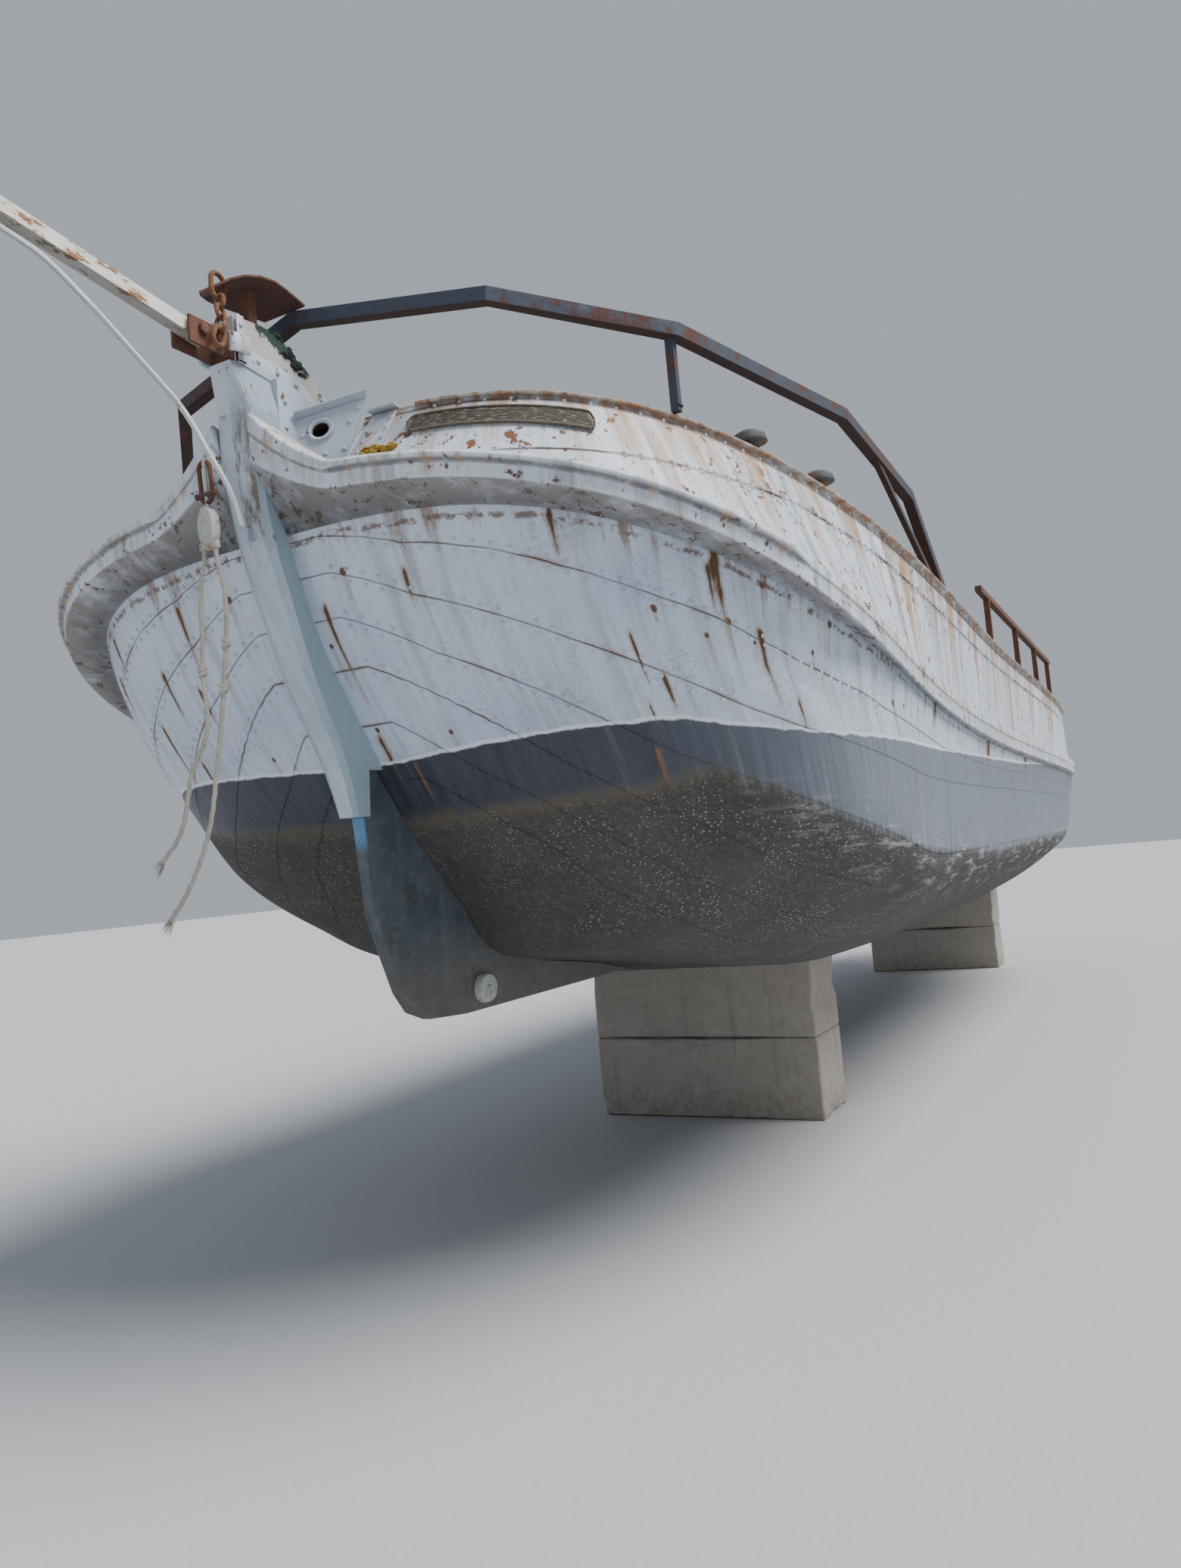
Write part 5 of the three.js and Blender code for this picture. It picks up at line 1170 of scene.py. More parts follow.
for side, sign in both_sides:
    inner, outer = (0.0605, 0.0695) if sign > 0 else (-0.0695, -0.0605)
    strap = side_plate(f"stem_strap_{side}",
                       [(0.054, 4.137), (0.054, 4.215), (-0.30, 4.185), (-0.44, 4.085), (-0.44, 4.075),
                                              (-0.33, 4.088)], inner, outer)
    put_on(strap, "barge", "white_paint", white_finish)
    upright = side_plate(f"stem_upright_{side}",
                         [(0.056, 4.14), (0.058, 4.332), (0.018, 4.334), (0.012, 4.14)],
                         *((0.0698, 0.0788) if sign > 0 else (-0.0788, -0.0698)))
    put_on(upright, "barge", "white_paint", white_finish)
    heads = [(boat(x, sign * 0.0695, z), Vector((0, sign, 0))) for x, z in
             ((-0.06, 4.172), (-0.17, 4.162), (-0.28, 4.148), (-0.37, 4.098))]
    heads += [(boat(x, sign * 0.0788, z), Vector((0, sign, 0))) for x, z in ((0.036, 4.19), (0.038, 4.29))]
    heads += [(boat(x, sign * 0.0999, z), Vector((0, sign, 0))) for x, z in
              ((-0.17, 4.03), (-0.23, 4.0), (-0.17, 3.92), (-0.3, 3.86), (-0.4, 3.93))]
    heads = rivets(f"stem_head_rivets_{side}", heads, 0.011, 0.7)
    put_on(heads, "barge", "galvanised", galvanised_finish)
    collar_rings = []
    for k in range(13):
        turn = math.radians(-8 + 98 * k / 12)
        centre = Vector((math.sin(turn) * 0.072 + 0.036, 0.024 * math.cos(turn) + 0.0795, 0))
        out = Vector((math.sin(turn) * 0.6, math.cos(turn), 0)).normalized()
        ring = []
        for deep, rise in ((-0.008, -0.036), (0.006, -0.04), (0.011, -0.028), (0.012, 0.0), (0.011, 0.028),
                           (0.006, 0.04),
                           (-0.008, 0.036)):
            spot = centre + out * deep
            ring.append(boat(min(spot.x, 0.112), sign * spot.y, 4.196 + rise))
        collar_rings.append(ring)
    collar = eased(loft(f"stem_collar_{side}", collar_rings), 0.002)
    put_on(collar, "barge", "white_paint", white_finish)

# Moss cushions and a bracket fungus on the timber
moss_finish, shader, place = new_finish("dark_moss")
tufts = cloudy(place, 160, 6, 0.75)
colour = tint(spread(cloudy(place, 25, 5, 0.6), 0.4, 0.65), (0.012, 0.032, 0.03), (0.085, 0.13, 0.07))
colour = tint(tufts, (0.01, 0.02, 0.018), colour)
dress(shader, colour, 0.98, tufts, 0.01)
moss = []
for x, y, z, size in ((-0.2, 0.035, 4.338, 0.045), (-0.235, -0.01, 4.325, 0.05), (-0.27, 0.03, 4.295, 0.05),
                      (-0.3, 0.0, 4.283, 0.045), (-0.33, 0.03, 4.268, 0.04), (-0.36, -0.02, 4.252,
                                                                              0.04), (-0.385, 0.025, 4.232,
                                                                                      0.03),
                      (-0.25, 0.052, 4.27, 0.04), (-0.3, 0.054, 4.24, 0.035), (-0.34, 0.054, 4.215, 0.028),
                      (-0.47, 0.02, 4.165, 0.022), (-0.5, 0.03, 4.14, 0.02), (-0.16, 0.05, 4.345, 0.02)):
    bpy.ops.mesh.primitive_ico_sphere_add(subdivisions=4, radius=size, location=boat(x, y, z))
    bpy.context.object.scale = (1, 0.6, 0.42)
    tuft = settled("tuft")
    for v in tuft.data.vertices:
        v.co += v.normal * 0.45 * size * (noise.noise(v.co * 34) + 0.6 * noise.noise(v.co * 90))
    bpy.ops.object.shade_smooth()
    moss.append(tuft)
put_on(join("stem_moss", moss), "barge", "wood", moss_finish)
bpy.ops.mesh.primitive_uv_sphere_add(segments=20, ring_count=10, radius=0.026,
                                     location=boat(-0.372, 0.03, 4.262))
bpy.context.object.scale = (1.0, 0.8, 0.42)
bpy.context.object.rotation_euler = (0.3, -0.35, 0)
fungus = settled("bracket_fungus")
for v in fungus.data.vertices:
    v.co += v.normal * 0.006 * noise.noise(v.co * 60)
bpy.ops.object.shade_smooth()
fungus_finish, shader, place = new_finish("bracket_fungus_flesh")
bands = cloudy(place, 60, 4)
dress(shader, tint(bands, (0.75, 0.74, 0.66), (0.45, 0.48, 0.34)), 0.8, bands, 0.002)
put_on(fungus, "barge", "wood", fungus_finish)


# Hawse plates
# A doubled plate at each side of the stem carries a cast fairlead with a rolled oval lip. A flange
# stiffens its upper edge, and a second plate is riveted over the bulwark behind it.
hawse_out = Vector((0.8105, 0.5841, 0.0438))
hawse_across = Vector((-0.5847, 0.8113, 0.0))
hawse_up = hawse_out.cross(hawse_across)
hawse_foot = boat(-0.215, 0.1004, 3.6)
plate_outline = [(0, 0), (0.2, 0), (0.235, 0.18), (0.251, 0.313), (0.308, 0.465), (0, 0.37)]
hole_u, hole_v, hole_turn = 0.107, 0.326, math.radians(37)


def on_hawse(u, v, out):
    return hawse_foot + hawse_across * u + hawse_up * v + hawse_out * out


def reach_edge(turn):
    du, dv = math.cos(turn), math.sin(turn)
    reach = 9.0
    for (u0, v0), (u1, v1) in zip(plate_outline, plate_outline[1:] + plate_outline[:1]):
        eu, ev = u1 - u0, v1 - v0
        cross = du * ev - dv * eu
        if abs(cross) < 1e-9:
            continue
        far = ((u0 - hole_u) * ev - (v0 - hole_v) * eu) / cross
        share = ((u0 - hole_u) * dv - (v0 - hole_v) * du) / cross
        if far > 0 and -1e-6 <= share <= 1 + 1e-6:
            reach = min(reach, far)
    return reach


def on_oval(turn, long_half, short_half, out):
    a, b = math.cos(turn) * long_half, math.sin(turn) * short_half
    u = hole_u + a * math.cos(hole_turn) - b * math.sin(hole_turn)
    v = hole_v + a * math.sin(hole_turn) + b * math.cos(hole_turn)
    return on_hawse(u, v, out)


def ring_mesh(name, rings):
    size, count = len(rings[0]), len(rings)
    faces = [(i * size + j, i * size + (j + 1) % size, (i + 1) % count * size + (j + 1) % size,
              (i + 1) % count * size + j)
             for i in range(count) for j in range(size)]
    piece = make_mesh(name, [p for ring in rings for p in ring], faces)
    take_up(piece)
    bpy.ops.object.shade_smooth_by_angle(angle=math.radians(38))
    return piece


# The hawse pipe is closed a short way in and coloured near-black to rust-brown: rust, with painted shade
# standing for the depth of the hole.
hawse_pipe_rust_and_shade_finish, shader, place = new_finish("hawse_pipe_rust_and_painted_shade")
crust = cloudy(place, 60, 6, 0.7)
dress(shader, tint(crust, (0.015, 0.014, 0.016), (0.09, 0.055, 0.04)), 0.9, crust, 0.003)
corner_turns = [math.atan2(v - hole_v, u - hole_u) for u, v in plate_outline]
hawse_turns = sorted([2 * math.pi * k / 56 - math.pi for k in range(56)] + corner_turns)
for side, sign in both_sides:
    def handed(point):
        return Vector((point.x, sign * point.y, point.z))

    plate_rings, pipe_rings = [], []
    for turn in hawse_turns:
        edge = reach_edge(turn)
        rim = Vector((hole_u + edge * math.cos(turn), hole_v + edge * math.sin(turn)))
        oval_turn = turn - hole_turn
        foot = on_oval(oval_turn, 0.064, 0.05, 0.001)
        rim_front, rim_back = on_hawse(rim.x, rim.y, 0), on_hawse(rim.x, rim.y, -0.012)
        ring = [rim_back, rim_front, rim_front.lerp(foot, 0.35), rim_front.lerp(foot, 0.75), foot,
                on_oval(oval_turn, 0.061, 0.047, 0.011), on_oval(oval_turn, 0.054, 0.041, 0.017),
                on_oval(oval_turn, 0.046, 0.034, 0.015), on_oval(oval_turn, 0.04, 0.029, 0.008),
                on_oval(oval_turn, 0.038, 0.0275, -0.004), on_oval(oval_turn, 0.04, 0.029, -0.012)]
        plate_rings.append([handed(p) for p in ring])
        pipe = [on_oval(oval_turn, 0.0375, 0.027, 0.0), on_oval(oval_turn, 0.042, 0.031, -0.013),
                on_oval(oval_turn, 0.042, 0.031, -0.09), on_oval(oval_turn, 0.002, 0.002, -0.092),
                on_oval(oval_turn, 0.002, 0.002, -0.086), on_oval(oval_turn, 0.0375, 0.027, -0.084)]
        pipe_rings.append([handed(p) for p in pipe])
    plate = ring_mesh(f"hawse_casting_{side}", plate_rings)
    put_on(plate, "barge", "white_paint", white_finish, f"hawse_plate_{side}")
    put_on(ring_mesh(f"hawse_pipe_{side}", pipe_rings), "barge", "rust", hawse_pipe_rust_and_shade_finish)
    flange_rings = []
    for u, v in ((0.002, 0.3715), (0.309, 0.4665)):
        flange_rings.append([handed(on_hawse(u, v + rise, out)) for out, rise in
                             ((-0.014, 0.0), (-0.014, 0.009), (0.044, 0.021), (0.046, 0.017),
                              (0.044, 0.012), (0.0, 0.001))])
    flange = eased(loft(f"hawse_flange_{side}", flange_rings, smooth=False), 0.001)
    put_on(flange, "barge", "white_paint", white_finish)
    doubler_rings = []
    for share in (0.02, 0.3, 0.6, 0.8, 1.02):
        left = 0.0335 + 0.007 * share
        outline = [(left, 0.0012), (left, 0.0105), ((left + 0.067) / 2, 0.0112), (0.067, 0.0105),
                   (0.067, 0.0012)]
        doubler_rings.append([handed(on_bulwark(station, share, out)) for station, out in outline])
    doubler = eased(loft(f"bow_doubler_{side}", doubler_rings, smooth=False), 0.002)
    put_on(doubler, "barge", "white_paint", white_finish)
    lip_rings = [[handed(on_bulwark(station, 1.0, out) + Vector((0, 0, rise))) for out, rise in
                  ((-0.02, 0.015), (-0.02, 0.024), (0.036, 0.026), (0.038, 0.02), (0.034, 0.015))]
                 for station in (0.0395, 0.05, 0.06, 0.069)]
    put_on(eased(loft(f"bow_doubler_flange_{side}", lip_rings, smooth=False), 0.001), "barge",
           "white_paint", white_finish)
    heads = []
    for station in (0.0445, 0.064):
        for k in range(6):
            spot = on_bulwark(station, 0.2 + 0.7 * k / 5, 0.0108)
            out = (on_bulwark(station, 0.5, 0.1) - on_bulwark(station, 0.5, 0)).normalized()
            heads.append((handed(spot), handed(out)))
    heads += [(handed(on_hawse(u, v, 0.0002)), handed(hawse_out)) for u, v in
              ((0.27, 0.42), (0.23, 0.36), (0.03, 0.24), (0.03, 0.3), (0.2, 0.24), (0.12, 0.22))]
    heads = rivets(f"hawse_rivets_{side}", heads, 0.0105, 0.6)
    put_on(heads, "barge", "white_paint", white_finish)

# Yellow lichen along the foot of the doubler
lichen_finish, shader, place = new_finish("yellow_lichen")
crust = cloudy(place, 130, 5, 0.7)
dress(shader, tint(crust, (0.16, 0.09, 0.02), (0.62, 0.4, 0.05)), 0.95, crust, 0.006)
lichen = []
for i in range(26):
    station = 0.05 + 0.035 * random.random()
    spot = on_bulwark(station, 0.4 + 0.1 * random.random(), 0.014)
    bpy.ops.mesh.primitive_ico_sphere_add(subdivisions=3, radius=random.uniform(0.008, 0.02), location=spot)
    bpy.context.object.scale = (1.2, 1, 0.55)
    crumb = settled("crumb")
    for v in crumb.data.vertices:
        v.co += v.normal * 0.006 * noise.noise(v.co * 110)
    bpy.ops.object.shade_smooth()
    lichen.append(crumb)
put_on(join("bow_lichen", lichen), "barge", "hull_paint", lichen_finish)


# Rivets of the shell
# Snap-headed rivets hold the bulwark to the strake and its upper plates to the lower. Double rows
# follow each lap of the hull plating and show through the paint.
def plating_out(column_at, station):
    before, after = column_at(max(0, station - 0.01)), column_at(min(3, station + 0.01))
    return Vector((after.y - before.y, before.x - after.x, 0)).normalized()


def rivets_along(path, spacing):
    spots, due = [], spacing / 2
    for (first, first_out), (second, second_out) in zip(path, path[1:]):
        gap = (second - first).length
        while due < gap:
            spots.append((first.lerp(second, due / gap), first_out.lerp(second_out, due / gap).normalized()))
            due += spacing
        due -= gap
    return spots


shell_stations = [0.02 + 0.98 * (i / 160) ** 1.2 for i in range(161)] + [1 + i / 60 for i in range(1, 61)]
shell_stations += [2 + 0.93 * i / 90 for i in range(1, 91)]
for side, sign in both_sides:
    def handed(point):
        return Vector((point.x, sign * point.y, point.z))

    hull_heads = []
    for lap in strake_laps:
        for offset in (0.05, -0.05):
            path = []
            for station in shell_stations:
                column = [level_point(n, station) for n in hull_levels]
                out = plating_out(lambda s: level_point("topside", s), station)
                path.append((handed(across_levels(column, read_off(lap, station) + offset) + out * 0.001),
                             handed(out)))
            hull_heads += [pair for pair in rivets_along(path, 0.075) if pair[0].z > 2.62]
    heads = rivets(f"hull_rivets_{side}", hull_heads, 0.0095, 0.08)
    heads.data.materials.append(hull_finish)
    run_layer = heads.data.uv_layers.new(name="run")
    lap_layer = heads.data.uv_layers.new(name="plating")
    paint_layer = heads.data.uv_layers.new(name="paint")
    near = [(level_point("topside", s), s) for s in shell_stations]
    per_head = len(heads.data.vertices) // len(hull_heads)
    head_maps = []
    for spot, _ in hull_heads:
        _, station = min(near, key=lambda pair: abs(pair[0].x - spot.x) + abs(pair[0].y - abs(spot.y)))
        head_maps.append((along_side(station), spot.z, spot.z - read_off(paint_edge_height, station),
                          spot.z - read_off(slate_foot_height, station)))
    run_values, lap_values, paint_values = [], [], []
    for loop in heads.data.loops:
        girth_at, high, over_edge, over_foot = head_maps[loop.vertex_index // per_head]
        run_values += [girth_at, high]
        lap_values += [3.0, 0.25]
        paint_values += [over_edge, over_foot]
    run_layer.uv.foreach_set("vector", run_values)
    lap_layer.uv.foreach_set("vector", lap_values)
    paint_layer.uv.foreach_set("vector", paint_values)
    put_on(heads, "barge", "hull_paint", hull_finish)
    bulwark_heads = []
    for share, spacing, low_station in ((0.045, 0.07, 0.1), (0.955, 0.11, 0.1)):
        path = [(handed(on_bulwark(s, share, 0.0004)),
                 handed(plating_out(lambda t: on_bulwark(t, 0.5, 0), s)))
                for s in shell_stations if low_station < s < 2.9]
        bulwark_heads += rivets_along(path, spacing)
    for offset in (0.022, -0.022):
        path = [(handed(on_bulwark(s, read_off(lap_on_bulwark, s) + offset, 0.0004)),
                 handed(plating_out(lambda t: on_bulwark(t, 0.5, 0),
                                    s))) for s in shell_stations if 0.4 < s < 2.9]
        bulwark_heads += rivets_along(path, 0.075)
    heads = rivets(f"bulwark_rivets_{side}", bulwark_heads, 0.0085, 0.2)
    put_on(heads, "barge", "white_paint", white_finish)


# Bow fin
# A plate fin runs down from the foot of the stem and aft under the forefoot. It is painted a dark
# teal that has bloomed and chipped, with a cast anode studded on each side.
fin_finish, shader, place = new_finish("teal_fin_paint")
paint = weather(place, level_run(place), (0.04, 0.056, 0.075), (0.065, 0.085, 0.105), 0.35, 0.2, 0.6)
parts = parts_of(place)
bloom = cloudy(place, 17, 7, 0.7)
colour = tint(spread(bloom, 0.5, 0.72, 0, 0.45), paint["Colour"], (0.14, 0.17, 0.185))
salt = specks(place, 75.0)
salt = times(spread(salt, 0.16, 0.1), spread(bloom, 0.45, 0.6))
colour = tint(times(salt, 0.8), colour, (0.45, 0.5, 0.5))
front_edge = spread(minus(parts[0], times(parts[2], 0.1)), stem_face_x - 0.806,
                    stem_face_x - 0.796)
front_edge = times(front_edge, spread(parts[2], 2.12, 2.2))
colour = tint(times(front_edge, 0.8), colour, (0.12, 0.32, 0.55))
silt = plus(parts[2], times(bloom, 0.5))
colour = tint(spread(silt, 2.0, 1.7, 0, 0.6), colour, (0.13, 0.11, 0.085))
shells = specks(place, 60.0)
shells = times(spread(shells, 0.3, 0.2), spread(silt, 2.1, 1.6))
shells = times(shells, spread(bloom, 0.48, 0.6))
colour = tint(shells, colour, (0.36, 0.37, 0.35))
dress(shader, colour, 0.62, plus(paint["Height"], larger(salt, shells)), 0.003)
paint_nodes(fin_finish, "bow_fin")
ease_nodes(0.006, "bow_fin")


def merged_copy(node, name, ease=0.0, angle=38):
    piece = bpy.data.objects.new(name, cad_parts[node].data.copy())
    bpy.context.scene.collection.objects.link(piece)
    piece.data.materials.clear()
    take_up(piece)
    edit_all()
    bpy.ops.mesh.remove_doubles(threshold=0.00005)
    bpy.ops.mesh.dissolve_limited(angle_limit=math.radians(0.7))
    bpy.ops.object.mode_set(mode="OBJECT")
    if ease:
        eased(piece, ease)
    bpy.ops.object.shade_smooth_by_angle(angle=math.radians(angle))
    return piece


zinc_finish, shader, place = new_finish("cast_zinc", 0.15)
pits = cloudy(place, 55, 7, 0.7)
crust = cloudy(place, 14, 5, 0.6)
colour = tint(pits, (0.33, 0.36, 0.33), (0.62, 0.64, 0.6))
colour = tint(spread(crust, 0.56, 0.68), colour, tint(pits, (0.3, 0.17, 0.08), (0.5, 0.36, 0.22)))
dress(shader, colour, 0.85, pits, 0.006)
for side, sign in both_sides:
    anode = merged_copy(f"fin_anode_{side}", f"fin_anode_cast_{side}", 0.006)
    put_on(anode, "barge", "zinc", zinc_finish, f"fin_anode_{side}")
    nut = turned(f"fin_anode_nut_{side}", boat(-1.4, sign * 0.077, 1.425), 0.014, 0.012, 0.0015)
    put_on(nut, "barge", "galvanised", galvanised_finish)


# Skeg, rudder and screw
# The skeg plate carries the heel and sternpost. The rudder hangs on a stock stepped in the heel and
# has welded stiffeners, and a four-bladed bronze screw turns in the aperture.
finish, shader, place, paint, colour, front, height = banded_paint(
    "stern_gear_paint", (0.5, 0.53, 0.56), (0.5, 0.53, 0.56), 2.62)
growth = specks(place, 60.0)
growth = times(spread(growth, 0.2, 0.12), spread(height, 2.3, 2.1))
colour = tint(times(growth, spread(cloudy(place, 4, 4), 0.45, 0.6)), colour, (0.42, 0.41, 0.38))
dress(shader, colour, 0.75, plus(paint["Height"], growth), 0.004)
stern_finish = finish
paint_nodes(stern_finish, "skeg", "rudder")
ease_nodes(0.008, "skeg", "rudder")
for side, sign in both_sides:
    for level, fore_x, aft_x in ((1.62, -16.745, -17.5), (2.15, -16.745, -17.42), (2.66, -16.745, -17.2),
                                 (3.3, -16.745, -16.95)):
        low, high = (0.035, 0.044) if sign > 0 else (-0.044, -0.035)
        band = eased(sawn_block(f"rudder_band_{side}_{round(level * 100)}", boat(aft_x, low, level - 0.035),
                                boat(fore_x, high, level + 0.035)), 0.002)
        put_on(band, "steering", "hull_paint", stern_finish)
        heads = [(boat(fore_x + (aft_x - fore_x) * (k + 0.5) / 6, sign * 0.044, level),
                  Vector((0, sign, 0))) for k in range(6)]
        heads = rivets(f"rudder_rivets_{side}_{round(level * 100)}", heads, 0.012, 0.6)
        put_on(heads, "steering", "hull_paint", stern_finish)
bronze_finish, shader, place = new_finish("dull_bronze", 0.85)
verdigris = cloudy(place, 16, 7, 0.68)
scratches = cloudy(stretched(place, (90, 90, 9)), 1.0, 4, 0.6)
colour = tint(scratches, (0.3, 0.2, 0.09), (0.5, 0.34, 0.15))
colour = tint(spread(verdigris, 0.5, 0.64), colour, (0.14, 0.3, 0.25))
dress(shader, colour, spread(verdigris, 0.45, 0.65, 0.42, 0.85), verdigris, 0.003)
screw = merged_copy("propeller", "four_bladed_screw", 0.002)
put_on(screw, "propeller", "bronze", bronze_finish, "propeller")
tiller_finish, shader, place = new_finish("oiled_ash")
grain = cloudy(stretched(place, (2, 45, 45)), 1.0, 8, 0.68, 0.4)
colour = tint(grain, (0.2, 0.12, 0.065), (0.46, 0.32, 0.19))
colour = tint(spread(cloudy(place, 5, 5), 0.52, 0.68), colour, (0.36, 0.34, 0.31))
dress(shader, colour, 0.6, grain, 0.002)
tiller = merged_copy("tiller", "tapered_tiller", 0.012)
put_on(tiller, "steering", "wood", tiller_finish, "tiller")
for x in (-16.9, -16.72):
    nut = turned(f"tiller_nut_{round(-x * 100)}", boat(x, 0, 4.058), 0.022, 0.02, tilt=(0, 0, 0))
    put_on(nut, "steering", "galvanised", galvanised_finish)


# Bow rails
# A square bar is bent and welded round the bow on one post each side, with a brace aft. It carries
# worn slate paint over rust, and red primer where it was repaired.
rail_finish, shader, place = new_finish("worn_rail_paint", 0.1)
facing = facing_of(place)[2]
wear = cloudy(place, 3.2, 7, 0.68)
flake = cloudy(place, 26, 7, 0.72)
worn = plus(times(wear, 0.7), times(flake, 0.5))
worn = plus(worn, spread(facing, -0.2, -0.8, 0.0, 0.13))
rust_colour = tint(cloudy(place, 60, 6, 0.7), (0.045, 0.024, 0.022), (0.15, 0.062, 0.042))
paint_colour = tint(flake, (0.026, 0.034, 0.055), (0.066, 0.083, 0.115))
colour = tint(spread(worn, 0.6, 0.66), paint_colour, rust_colour)
primer = cloudy(stretched(place, (1, 1, 1), (3, 8, 5)), 1.7, 3, 0.5)
colour = tint(spread(primer, 0.68, 0.7, 0, 0.8), colour, (0.36, 0.09, 0.07))
edge_rust = times(spread(facing, 0.5, 0.9), spread(flake, 0.42, 0.52))
colour = tint(times(edge_rust, 0.8), colour, (0.26, 0.1, 0.055))
# Undersides are darkened almost to black: dark rust scale, with painted shade.
colour = tint(spread(facing, -0.35, -0.7, 0, 0.75), colour, (0.03, 0.02, 0.019))
dress(shader, colour, spread(worn, 0.5, 0.66, 0.5, 0.9), worn, 0.004)
paint_nodes(rail_finish, "bow_rail_port", "bow_rail_starboard")
ease_nodes(0.006, "bow_rail_port", "bow_rail_starboard")


# Beads of weld where bars meet
def weld_bead(name, start, end, radius, slot, finish):
    path = [start.lerp(end, k / 24) for k in range(25)]
    along = (end - start).normalized()
    side = along.orthogonal().normalized()
    other = along.cross(side)
    rings = []
    for k, spot in enumerate(path):
        swell = radius * (0.75 + 0.3 * abs(math.sin(k * 1.9)) + 0.2 * noise.noise(spot * 80))
        rings.append([spot + (side * math.cos(t) + other * math.sin(t)) * swell for t in
                      (math.pi * 2 * j / 8 for j in range(8))])
    return put_on(loft(name, rings), "barge", slot, finish)


post_x, post_face = -1.0, 0.021
rail_posts = {"port": (1.515, 3.9, 4.19), "starboard": (-1.345, 3.91, 4.19)}
for side, (y, *heights) in rail_posts.items():
    for height in heights:
        weld_bead(f"rail_weld_{side}_{round(height * 100)}", boat(post_x - 0.02, y + post_face, height),
                  boat(post_x + 0.02, y + post_face, height), 0.006, "rail_paint", rail_finish)


# Nose plate and heel chain
# A scoop of thick plate closes the rail over the stem, scaled with rust underneath, where its darker colour
# is partly painted shade.
# A shackle and a short chain hang from its tip to the bowsprit bracket.
rust_finish, shader, place = new_finish("scaled_rust", 0.1)
facing = facing_of(place)[2]
scale_map = cloudy(place, 11, 8, 0.72)
fine = cloudy(place, 75, 6, 0.72)
colour = tint(scale_map, (0.05, 0.024, 0.02), (0.21, 0.09, 0.052))
colour = tint(spread(fine, 0.55, 0.75), colour, (0.36, 0.18, 0.1))
# Undersides are darkened: dark rust scale, with painted shade.
colour = tint(spread(facing, -0.3, -0.8, 0, 0.75), colour, (0.06, 0.027, 0.024))
old_paint = cloudy(stretched(place, (1, 1, 1), (7, 1, 2)), 8, 5, 0.65)
colour = tint(spread(old_paint, 0.63, 0.67, 0, 0.7), colour, (0.05, 0.085, 0.13))
dress(shader, colour, 0.92, plus(scale_map, times(fine, 0.5)), 0.006)
paint_nodes(rust_finish, "nose_plate", "bowsprit_bracket", "aft_rail_port", "aft_rail_starboard")
ease_nodes(0.003, "nose_plate", "bowsprit_bracket")
ease_nodes(0.005, "aft_rail_port", "aft_rail_starboard")

chain_finish, shader, place = new_finish("rusty_chain", 0.2)
fine = cloudy(place, 70, 6, 0.7)
broad = cloudy(place, 16, 4, 0.6)
colour = tint(fine, (0.07, 0.03, 0.017), (0.3, 0.13, 0.06))
colour = tint(spread(broad, 0.56, 0.68), colour, (0.38, 0.31, 0.2))
dress(shader, colour, 0.88, fine, 0.003)


def chain_link(name, middle, along, across, length, wide, thick):
    bpy.ops.object.select_all(action="DESELECT")
    bpy.ops.mesh.primitive_torus_add(major_segments=32, minor_segments=12, major_radius=wide,
                                     minor_radius=thick)
    link = bpy.context.object
    link.name = name
    stretch = length / 2 - wide - thick
    for v in link.data.vertices:
        v.co.x += stretch if v.co.x > 0 else -stretch
    along = along.normalized()
    across = (across - along * across.dot(along)).normalized()
    turn = Matrix((along, across, along.cross(across))).transposed().to_4x4()
    link.data.transform(Matrix.Translation(middle) @ turn)
    bpy.ops.object.shade_smooth()
    return link


heel_links = [((0.082, 0.012, 4.455), (0.1, 0.05, -1), (1, 0, 0.2), 0.135, 0.036, 0.0105),
              ((0.1, 0.034, 4.376), (0.25, 0.3, -1), (0, 1, 0), 0.085, 0.021, 0.0085),
              ((0.116, 0.05, 4.322), (0.35, 0.3, -1), (1, 0.2, 0), 0.085, 0.021, 0.0085),
              ((0.134, 0.066, 4.262), (0.3, 0.2, -1), (0, 1, 0), 0.1, 0.022, 0.0085),
              ((0.162, 0.079, 4.195), (0.45, 0.05, -1), (1, 0, 0.5), 0.1, 0.026, 0.01)]
links = [chain_link(f"heel_link_{k}", boat(*spot), Vector(along), Vector(across), *sizes)
         for k, (spot, along, across, *sizes) in enumerate(heel_links)]
put_on(join("heel_chain", links), "barge", "rust", chain_finish)


# Bowsprit, bracket and stay
# A short square steel spar pivots on a pin in a forked bracket. Its white paint is lifting off in
# rusty sheets, and a round bar stay runs from under its tip back to the stem.
spar_finish, shader, place = new_finish("lifting_white_paint")
facing = facing_of(place)[2]
run = stretched(place, (3.2, 9, 9))
lifting = cloudy(run, 1.6, 8, 0.72)
fine = cloudy(place, 85, 5, 0.7)
bare = spread(lifting, 0.57, 0.6)
halo = spread(lifting, 0.5, 0.58)
paint_colour = tint(cloudy(place, 9, 5, 0.6), (0.72, 0.7, 0.62), (0.8, 0.78, 0.72))
colour = tint(times(halo, 0.6), paint_colour, (0.62, 0.4, 0.2))
colour = tint(bare, colour, tint(fine, (0.15, 0.06, 0.03), (0.48, 0.22, 0.09)))
